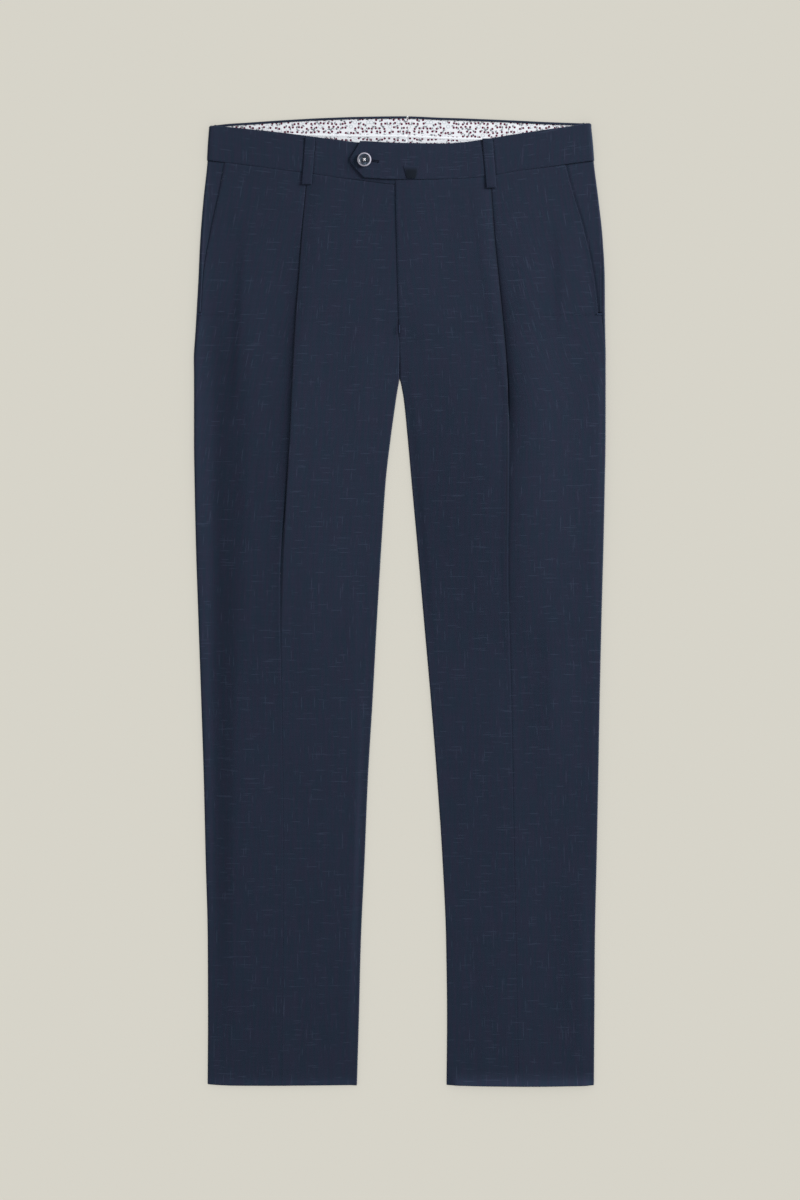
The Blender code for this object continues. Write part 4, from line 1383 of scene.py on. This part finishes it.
def printed_material(cloth, colours):
    """White cotton lining with a small scattered print: a berry in each cell of an uneven
    net, two curved leaves at one side of it, and an open ring instead in some cells.
    """
    made = lining_material(colours)
    made.name = "Printed cotton lining"
    tree = made.node_tree
    shader = tree.nodes["Principled BSDF"]
    grain = add_node(tree, "UVMap", uv_map="Grain")
    net = {"Vector": grain, "Scale": scale_of(cloth.dot_spacing), "Randomness": 0.55}
    cells = add_node(tree, "TexVoronoi", net, voronoi_dimensions="2D")
    dice = add_node(tree, "SeparateColor", {0: (cells, "Color")})
    local = add_node(tree, "VectorMath SUBTRACT", {0: grain, 1: (cells, "Position")})
    angle = add_node(tree, "Math MULTIPLY", {0: (dice, 0), 1: 2 * math.pi})
    turned = add_node(tree, "VectorRotate", {"Vector": local, "Angle": angle}, rotation_type="Z_AXIS")
    part = add_node(tree, "SeparateXYZ", {0: turned})
    radius = add_node(tree, "VectorMath LENGTH", {0: turned})
    far = (radius, "Value")

    berry = add_node(tree, "Math LESS_THAN", {0: far, 1: BERRY_RADIUS * MM})
    aim = add_node(tree, "Math ARCTAN2", {0: (part, 1), 1: (part, 0)})
    spread = add_node(tree, "Math ABSOLUTE", {0: aim})
    limits = {"Value": spread, "From Min": 0.0, "From Max": LEAF_SPREAD}
    slim = add_node(tree, "MapRange", {**limits, "To Min": LEAF_WIDTH * MM, "To Max": 0.0})
    lines = []
    for ring, width in ((LEAF_RADII[0], slim), (LEAF_RADII[1], slim), (RING_RADIUS, RING_WIDTH * MM)):
        off = add_node(tree, "Math SUBTRACT", {0: far, 1: ring * MM})
        off = add_node(tree, "Math ABSOLUTE", {0: off})
        lines.append(add_node(tree, "Math LESS_THAN", {0: off, 1: width}))
    leaves = add_node(tree, "Math MAXIMUM", {0: lines[0], 1: lines[1]})
    ringed = add_node(tree, "Math GREATER_THAN", {0: (dice, 1), 1: RING_ABOVE})
    plain = add_node(tree, "Math SUBTRACT", {0: 1.0, 1: ringed})

    look = rgba(colours.lining)
    inks = ((leaves, plain, colours.leaf), (berry, plain, colours.berry), (lines[2], ringed, colours.ring))
    for mask, gate, ink in inks:
        shown = add_node(tree, "Math MULTIPLY", {0: mask, 1: gate})
        look = (add_node(tree, "Mix", {0: shown, 6: look, 7: rgba(ink)}, data_type="RGBA"), 2)
    tree.links.new(look[0].outputs[2], shader.inputs["Base Color"])
    return made


def button_material(colours):
    """Cast polyester made to look like horn: dark, with paler swirls under a polished face."""
    made, tree, shader = new_material("Polished mock horn", Roughness=0.4, Coat_Weight=0.15, IOR=1.5)
    place = add_node(tree, "TexCoord")
    swirls = {"Vector": (place, "Object"), "Scale": scale_of(HORN_SWIRL), "Detail": 4.0, "Distortion": 2.2}
    swirl = add_node(tree, "TexNoise", swirls)
    ramp = add_node(tree, "MapRange", {"Value": swirl, "From Min": 0.5, "From Max": 0.74})
    inks = {6: rgba(colours.button), 7: rgba(colours.button_swirl)}
    look = add_node(tree, "Mix", {0: ramp, **inks}, data_type="RGBA")
    tree.links.new(look.outputs[2], shader.inputs["Base Color"])
    return made


def rim_material(colours):
    """The button's rim: the same cast polyester, pale and faintly clouded."""
    made, tree, shader = new_material("Pale button rim", Roughness=0.75, Specular_IOR_Level=0.25)
    place = add_node(tree, "TexCoord")
    clouds = {"Vector": (place, "Object"), "Scale": scale_of(RIM_CLOUD), "Detail": 2.0}
    cloud = add_node(tree, "TexNoise", clouds)
    pale = rgba(colours.button_rim)
    dark = rgba([0.75 * channel for channel in colours.button_rim])
    look = add_node(tree, "Mix", {0: cloud, 6: dark, 7: pale}, data_type="RGBA")
    tree.links.new(look.outputs[2], shader.inputs["Base Color"])
    return made


def thread_material(name, ink):
    """Twisted polyester sewing thread: nearly matte, with a fine slanted twist."""
    made, tree, shader = new_material(name, Roughness=0.8, Specular_IOR_Level=0.15)
    shader.inputs["Base Color"].default_value = rgba(linear(ink))
    place = add_node(tree, "TexCoord")
    # At scale 1 the slanted bands of a wave texture lie pi / (5 * sqrt(3)) apart.
    spacing = math.pi / (5 * math.sqrt(3))
    plies = {"Vector": (place, "Object"), "Scale": spacing * scale_of(THREAD_TWIST)}
    twist = add_node(tree, "TexWave", plies, bands_direction="DIAGONAL")
    bump = add_node(tree, "Bump", {"Height": twist, "Strength": 0.5, "Distance": 0.1 * MM})
    tree.links.new(bump.outputs[0], shader.inputs["Normal"])
    return made


def floor_material(stage):
    """Matte painted board."""
    made, tree, shader = new_material("Matte floor", Roughness=0.95, Specular_IOR_Level=0.1)
    shader.inputs["Base Color"].default_value = rgba(stage.floor)
    return made


def shared(name, make, *settings):
    """The named material, made on first use."""
    return bpy.data.materials.get(name) or make(*settings)


# ---------------------------------------------------------------- operators


def settings():
    scene = bpy.context.scene
    return scene.trousers_cloth, scene.trousers_colours, scene.trousers_stage


def suiting():
    cloth, colours, _ = settings()
    return shared("Wool linen suiting", suiting_material, cloth, colours)


def stand_for(node):
    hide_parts(node)


class TROUSERS_OT_fronts(bpy.types.Operator):
    """Make both front panels, with their pleats, pocket edges and turned-up hems"""

    bl_idname = "trousers.fronts"
    bl_label = "Front Panels"

    def execute(self, context):
        cloth, _, _ = settings()
        for side in SIDES:
            name = "front_panel_" + side
            piece = finish_sheet(name, front_sheet(side, cloth), cloth.wall, suiting())
            stand_for(name)
        return {"FINISHED"}


class TROUSERS_OT_backs(bpy.types.Operator):
    """Make both back panels, flat on the floor, with turned-up hems"""

    bl_idname = "trousers.backs"
    bl_label = "Back Panels"

    def execute(self, context):
        cloth, _, _ = settings()
        for side in SIDES:
            name = "back_panel_" + side
            piece = finish_sheet(name, back_sheet(side, cloth), cloth.wall, suiting())
            stand_for(name)
        return {"FINISHED"}


class TROUSERS_OT_facings(bpy.types.Operator):
    """Make the facings that show in the slanted pockets"""

    bl_idname = "trousers.facings"
    bl_label = "Pocket Facings"

    def execute(self, context):
        cloth, _, _ = settings()
        for side in SIDES:
            name = "pocket_facing_" + side
            piece = finish_sheet(name, facing_sheet(side, cloth), cloth.wall, suiting())
            stand_for(name)
        return {"FINISHED"}


class TROUSERS_OT_waistband(bpy.types.Operator):
    """Make both halves of the waistband, with the pointed tab on the left one"""

    bl_idname = "trousers.waistband"
    bl_label = "Waistband"

    def execute(self, context):
        cloth, _, _ = settings()
        for side in SIDES:
            name = "waistband_" + side
            sheet = band_sheet(side, cloth)
            piece = finish_sheet(name, sheet, cloth.band_wall, suiting(), rim=0.3)
            stand_for(name)
        return {"FINISHED"}


class TROUSERS_OT_linings(bpy.types.Operator):
    """Make the printed strips inside the back of the waistband"""

    bl_idname = "trousers.linings"
    bl_label = "Printed Linings"

    def execute(self, context):
        cloth, colours, _ = settings()
        printed = shared("Printed cotton lining", printed_material, cloth, colours)
        for side in SIDES:
            name = "lining_" + side
            piece = finish_sheet(name, lining_sheet(side, cloth), cloth.lining_wall, printed, rim=0.08)
            stand_for(name)
        return {"FINISHED"}


class TROUSERS_OT_curtains(bpy.types.Operator):
    """Make the lining's lower strips, folded over the printed ones"""

    bl_idname = "trousers.curtains"
    bl_label = "Waist Curtains"

    def execute(self, context):
        cloth, colours, _ = settings()
        printed = shared("Printed cotton lining", printed_material, cloth, colours)
        plain = shared("White cotton lining", lining_material, colours)
        for side in SIDES:
            name = "curtain_" + side
            sheet = curtain_sheet(side, cloth)
            piece = finish_sheet(name, sheet, cloth.lining_wall, printed, rim=0.08, bands=(STRIP_ROWS, plain))
            stand_for(name)
        return {"FINISHED"}


class TROUSERS_OT_belt_loops(bpy.types.Operator):
    """Make the belt loops, folded under at both ends"""

    bl_idname = "trousers.belt_loops"
    bl_label = "Belt Loops"

    def execute(self, context):
        for side, sizes in BELT_LOOPS.items():
            name = "belt_loop_" + side
            piece = finish_sheet(name, loop_sheet(side, *sizes), LOOP_WALL, suiting(), rim=0.25)
            stand_for(name)
        return {"FINISHED"}


class TROUSERS_OT_keeper(bpy.types.Operator):
    """Make the small loop for a belt's prong, above the fly"""

    bl_idname = "trousers.keeper"
    bl_label = "Prong Keeper"

    def execute(self, context):
        _, colours, _ = settings()
        tape = shared("Prong keeper tape with painted shade", keeper_material, colours)
        piece = finish_sheet("prong_keeper", keeper_sheet(), KEEPER_WALL, tape, rim=0.15)
        stand_for("prong_keeper")
        return {"FINISHED"}


class TROUSERS_OT_button(bpy.types.Operator):
    """Make the button with its four holes, and the crossed thread that holds it"""

    bl_idname = "trousers.button"
    bl_label = "Button"

    def execute(self, context):
        _, colours, _ = settings()
        horn = shared("Polished mock horn", button_material, colours)
        rim = shared("Pale button rim", rim_material, colours)
        piece = finish_mesh("button", button_mesh(), [horn, rim])
        drill_holes(piece)
        stand_for("button")
        white = shared("White thread", thread_material, "White thread", THREAD_WHITE)
        finish_mesh("button_thread", cross_mesh(), [white])
        return {"FINISHED"}


class TROUSERS_OT_sewing(bpy.types.Operator):
    """Make the bar tacks, the crotch's stitches and the end of the buttonhole"""

    bl_idname = "trousers.sewing"
    bl_label = "Sewing"

    def execute(self, context):
        tack = shared("Tack thread", thread_material, "Tack thread", THREAD_TACK)
        navy = shared("Navy thread", thread_material, "Navy thread", THREAD_NAVY)
        finish_mesh("bar_tacks", tacks_mesh(), [tack])
        finish_mesh("buttonhole", buttonhole_mesh(), [navy])
        return {"FINISHED"}


class TROUSERS_OT_stage(bpy.types.Operator):
    """Make the floor, the soft studio light and the camera straight above"""

    bl_idname = "trousers.stage"
    bl_label = "Stage"

    def execute(self, context):
        _, _, stage = settings()
        make_floor(stage)
        make_lights(stage)
        make_camera(stage)
        return {"FINISHED"}


# ---------------------------------------------------------------- button and sewing

# The button's seat, and its profile as (distance from the axis, height).
BUTTON_BASE = level(4) + 0.75
BUTTON_PROFILE = (
    (0.0, 1.75),
    (1.6, 1.7),
    (3.6, 1.75),
    (4.9, 1.95),
    (5.5, 2.35),
    (5.9, 2.65),
    (6.4, 2.8),
    (6.9, 2.78),
    (7.3, 2.6),
    (7.6, 2.3),
    (BUTTON_RADIUS, 1.9),
    (BUTTON_RADIUS, 1.3),
    (7.5, 0.8),
    (6.9, 0.4),
    (6.0, 0.1),
    (5.0, 0.0),
    (0.0, 0.0),
)
BUTTON_STEPS = 64
RIM_FROM = 6.4
RIM_ABOVE = 0.5
HOLE_RADIUS = 0.95
HOLE_OFFSET = 2.1


def button_mesh():
    """The button's profile, spun round its axis; the rim's faces take the second material."""
    turned = bmesh.new()
    verts = [turned.verts.new(Vector((out, 0.0, z)) * MM) for out, z in BUTTON_PROFILE]
    for first, second in zip(verts, verts[1:]):
        turned.edges.new((first, second))
    bmesh.ops.spin(
        turned,
        geom=turned.verts[:] + turned.edges[:],
        cent=(0, 0, 0),
        axis=(0, 0, 1),
        angle=2 * math.pi,
        steps=BUTTON_STEPS,
        use_merge=True,
    )
    bmesh.ops.remove_doubles(turned, verts=turned.verts, dist=1e-7)
    bmesh.ops.recalc_face_normals(turned, faces=turned.faces)
    for face in turned.faces:
        face.smooth = True
        middle = face.calc_center_median()
        if math.hypot(middle.x, middle.y) > RIM_FROM * MM and middle.z > RIM_ABOVE * MM:
            face.material_index = 1
    bmesh.ops.translate(turned, verts=turned.verts, vec=button_place())
    return turned


def button_place():
    return Vector((-BUTTON_OUT, BUTTON_Y, BUTTON_BASE)) * MM


def hole_places():
    for number in range(4):
        angle = math.radians(45 + 90 * number)
        yield Vector((math.cos(angle), math.sin(angle), 0.0)) * HOLE_OFFSET * MM


def drill_holes(piece):
    """Cuts the four sewing holes and leaves the button's mesh final."""
    drills = bmesh.new()
    for place in hole_places():
        bmesh.ops.create_cone(
            drills,
            cap_ends=True,
            segments=20,
            radius1=HOLE_RADIUS * MM,
            radius2=HOLE_RADIUS * MM,
            depth=10 * MM,
            matrix=Matrix.Translation(button_place() + place),
        )
    mesh = bpy.data.meshes.new("drills")
    drills.to_mesh(mesh)
    drills.free()
    cutter = bpy.data.objects.new("drills", mesh)
    bpy.context.scene.collection.objects.link(cutter)
    cut = piece.modifiers.new("Holes", "BOOLEAN")
    cut.object = cutter
    cut.solver = "EXACT"
    evaluated = piece.evaluated_get(bpy.context.evaluated_depsgraph_get())
    final = bpy.data.meshes.new_from_object(evaluated)
    piece.modifiers.clear()
    piece.data = final
    final.set_sharp_from_angle(angle=math.radians(40))
    bpy.data.objects.remove(cutter)


def add_strand(mesh, points, radius, sides=8):
    """A closed strand of thread through the points: a disc, extruded from point to point."""
    start, ahead = points[0], points[1] - points[0]
    turn = ahead.to_track_quat("Z", "Y").to_matrix().to_4x4()
    place = Matrix.Translation(start) @ turn
    end = radius * STRAND_END
    ring = bmesh.ops.create_circle(mesh, cap_ends=True, segments=sides, radius=end, matrix=place)
    face = ring["verts"][0].link_faces[0]
    count = len(points)
    for number in range(1, count):
        way = (points[min(number + 1, count - 1)] - points[number - 1]).normalized()
        face = bmesh.ops.extrude_discrete_faces(mesh, faces=[face])["faces"][0]
        verts = face.verts[:]
        old = face.calc_center_median()
        spin = face.normal.rotation_difference(way).to_matrix().to_4x4()
        size = end if number == count - 1 else radius
        now = (verts[0].co - old).length
        shaped = spin @ Matrix.Scale(size / now, 4) @ Matrix.Translation(-old)
        bmesh.ops.transform(mesh, verts=verts, matrix=Matrix.Translation(points[number]) @ shaped)


def arch(start, end, rise, count=9):
    """Points from start to end over a low arch."""
    points = []
    for share in np.linspace(0.0, 1.0, count):
        point = start.lerp(end, share)
        point.z += rise * math.sin(math.pi * share)
        points.append(point)
    return points


def cross_mesh():
    """Two crossed bundles of thread through the button's holes."""
    mesh = bmesh.new()
    seat = button_place() + Vector((0, 0, CROSS_SEAT * MM))
    holes = [seat + place * CROSS_REACH for place in hole_places()]
    for first, second, lift in ((0, 2, CROSS_LIFTS[0]), (1, 3, CROSS_LIFTS[1])):
        way = (holes[second] - holes[first]).normalized()
        beside = Vector((-way.y, way.x, 0.0))
        for shift in CROSS_SHIFTS:
            offset = beside * shift * MM
            rise = (lift + CROSS_CROWN * (shift == 0.0)) * MM
            add_strand(mesh, arch(holes[first] + offset, holes[second] + offset, rise), CROSS_STRAND * MM)
    finish_strands(mesh)
    return mesh


def finish_strands(mesh):
    for face in mesh.faces:
        face.smooth = True
    bmesh.ops.recalc_face_normals(mesh, faces=mesh.faces)


def tack(mesh, start, end, width=TACK_WIDTH):
    """Close stitches across the line from start to end."""
    way = (end - start).normalized()
    beside = Vector((-way.y, way.x, 0.0)) * width / 2 * MM
    count = max(3, round((end - start).length / (TACK_SPACING * MM)))
    for share in np.linspace(0.0, 1.0, count):
        middle = start.lerp(end, share)
        over = arch(middle - beside, middle + beside, STRAND_ARCH * MM, 5)
        add_strand(mesh, over, STRAND * MM, sides=6)


def tacks_mesh():
    """Bar tacks at the fly's end and at both pockets' lower ends, and the stitches that close
    the crotch seam where the fronts part.
    """
    mesh = bmesh.new()
    fly = [Vector((x, y, FRONT + LAYER + up)) * MM for x, y, up in FLY_TACK]
    tack(mesh, *fly)
    for side, sign in SIDES.items():
        edge = POCKET.at(side, POCKET_END)
        z = facing_top(side, edge, POCKET_END) + POCKET_TACK_UP
        y = POCKET_END - POCKET_TACK_DOWN
        ends = [Vector((sign * (edge + past), y, z + up)) * MM for past, up in POCKET_TACK]
        tack(mesh, *ends, POCKET_TACK_WIDTH)
    seam = [Vector((0.0, y, CROTCH_STITCH)) * MM for y in CROTCH_SEAM]
    add_strand(mesh, seam, CROTCH_STRAND * MM)
    finish_strands(mesh)
    return mesh


def buttonhole_mesh():
    """The buttonhole's far end, which shows beside the button: close stitches round a slit."""
    mesh = bmesh.new()
    slit = [Vector((past - BUTTON_OUT, BUTTON_Y + up, BUTTON_BASE)) * MM for past, up in SLIT]
    way = (slit[1] - slit[0]).normalized()
    beside = Vector((-way.y, way.x, 0.0)) * MM
    near, far = SLIT_STITCH
    for sign in (-1.0, 1.0):
        for share in np.linspace(0.0, 1.0, SLIT_STITCHES):
            middle = slit[0].lerp(slit[1], share)
            over = arch(middle + beside * sign * near, middle + beside * sign * far, SLIT_ARCH * MM, 5)
            add_strand(mesh, over, STRAND * MM, sides=6)
    tack(mesh, slit[1] + beside * SLIT_END, slit[1] - beside * SLIT_END)
    finish_strands(mesh)
    return mesh


# ---------------------------------------------------------------- stage


def make_floor(stage):
    plane = bmesh.new()
    size = stage.floor_size / 2
    bmesh.ops.create_grid(plane, x_segments=stage.segments, y_segments=stage.segments, size=size)
    mesh = bpy.data.meshes.new("floor")
    plane.to_mesh(mesh)
    plane.free()
    mesh.materials.append(floor_material(stage))
    floor = bpy.data.objects.new("floor", mesh)
    bpy.context.scene.collection.objects.link(floor)


# Where the lights stand, in metres: a raking key past the waist on the wearer's left, a weak
# fill on the other side and a lamp high above that lights only the floor. The camera stands
# over the middle, a hair off it.
KEY_PLACE = (2.86, 1.66, 1.06)
FILL_PLACE = (-4.2, -0.8, 2.1)
FLOOR_PLACE = (0.0, 0.0, 20.0)
LAMP_SIZES = {"Key light": 1.4, "Fill light": 3.0, "Floor light": 12.0}
CAMERA_OVER = (0.0005, 0.0012)
SENSOR_WIDTH = 36.0


def add_lamp(name, lit, place, brightness):
    """A round soft lamp, aimed at the middle, that falls on the `lit` objects only.

    `brightness` is what it gives a level surface in the middle.
    """
    towards = Vector(place)
    light = bpy.data.lights.new(name, "AREA")
    light.shape = "DISK"
    light.size = LAMP_SIZES[name]
    light.energy = math.pi * brightness * towards.length_squared * towards.length / towards.z
    made = bpy.data.objects.new(name, light)
    made.location = place
    made.rotation_euler = (-towards).to_track_quat("-Z", "Y").to_euler()
    made.visible_camera = False
    bpy.context.scene.collection.objects.link(made)
    group = bpy.data.collections.new(name + " falls on")
    for piece in lit:
        group.objects.link(piece)
    made.light_linking.receiver_collection = group


def make_lights(stage):
    """Raking lights show the cloth's folds; the floor is lit from straight above."""
    objects = [piece for piece in bpy.context.scene.objects if piece.type == "MESH"]
    floor = [piece for piece in objects if piece.name == "floor"]
    garment = [piece for piece in objects if piece not in floor]
    add_lamp("Key light", garment, KEY_PLACE, stage.key)
    add_lamp("Fill light", garment, FILL_PLACE, stage.fill)
    add_lamp("Floor light", floor, FLOOR_PLACE, stage.key + stage.fill)
    world = bpy.data.worlds.new("Studio")
    world.use_nodes = True
    world.node_tree.nodes["Background"].inputs["Strength"].default_value = stage.sky
    world.node_tree.nodes["Background"].inputs["Color"].default_value = (1.0, 1.0, 1.0, 1.0)
    bpy.context.scene.world = world
    bpy.context.scene.view_settings.view_transform = "Standard"


def make_camera(stage):
    """Straight above the trousers, the waist at the top of the picture."""
    camera = bpy.data.cameras.new("Camera")
    camera.lens = stage.focal
    camera.sensor_width = SENSOR_WIDTH
    distance = stage.frame_height * stage.focal / camera.sensor_width
    made = bpy.data.objects.new("Camera", camera)
    made.location = (*CAMERA_OVER, distance + FRONT * MM)
    bpy.context.scene.collection.objects.link(made)
    bpy.context.scene.camera = made


# ---------------------------------------------------------------- add-on

STEPS = (
    TROUSERS_OT_backs,
    TROUSERS_OT_fronts,
    TROUSERS_OT_facings,
    TROUSERS_OT_waistband,
    TROUSERS_OT_linings,
    TROUSERS_OT_curtains,
    TROUSERS_OT_belt_loops,
    TROUSERS_OT_keeper,
    TROUSERS_OT_button,
    TROUSERS_OT_sewing,
    TROUSERS_OT_stage,
)


class TROUSERS_PT_panel(bpy.types.Panel):
    bl_label = "Pleated Dress Trousers"
    bl_idname = "TROUSERS_PT_panel"
    bl_space_type = "VIEW_3D"
    bl_region_type = "UI"
    bl_category = "Trousers"

    def draw(self, context):
        for group in settings():
            box = self.layout.box()
            for name in group.__annotations__:
                box.prop(group, name)
        for step in STEPS:
            self.layout.operator(step.bl_idname)


GROUPS = (TrousersCloth, TrousersColours, TrousersStage)


def register():
    for made in (*GROUPS, *STEPS, TROUSERS_PT_panel):
        bpy.utils.register_class(made)
    bpy.types.Scene.trousers_cloth = PointerProperty(type=TrousersCloth)
    bpy.types.Scene.trousers_colours = PointerProperty(type=TrousersColours)
    bpy.types.Scene.trousers_stage = PointerProperty(type=TrousersStage)


def unregister():
    del bpy.types.Scene.trousers_stage
    del bpy.types.Scene.trousers_colours
    del bpy.types.Scene.trousers_cloth
    for made in (TROUSERS_PT_panel, *reversed(STEPS), *reversed(GROUPS)):
        bpy.utils.unregister_class(made)


def main():
    register()
    for step in STEPS:
        group, name = step.bl_idname.split(".")
        getattr(getattr(bpy.ops, group), name)()


if __name__ == "__main__":
    main()
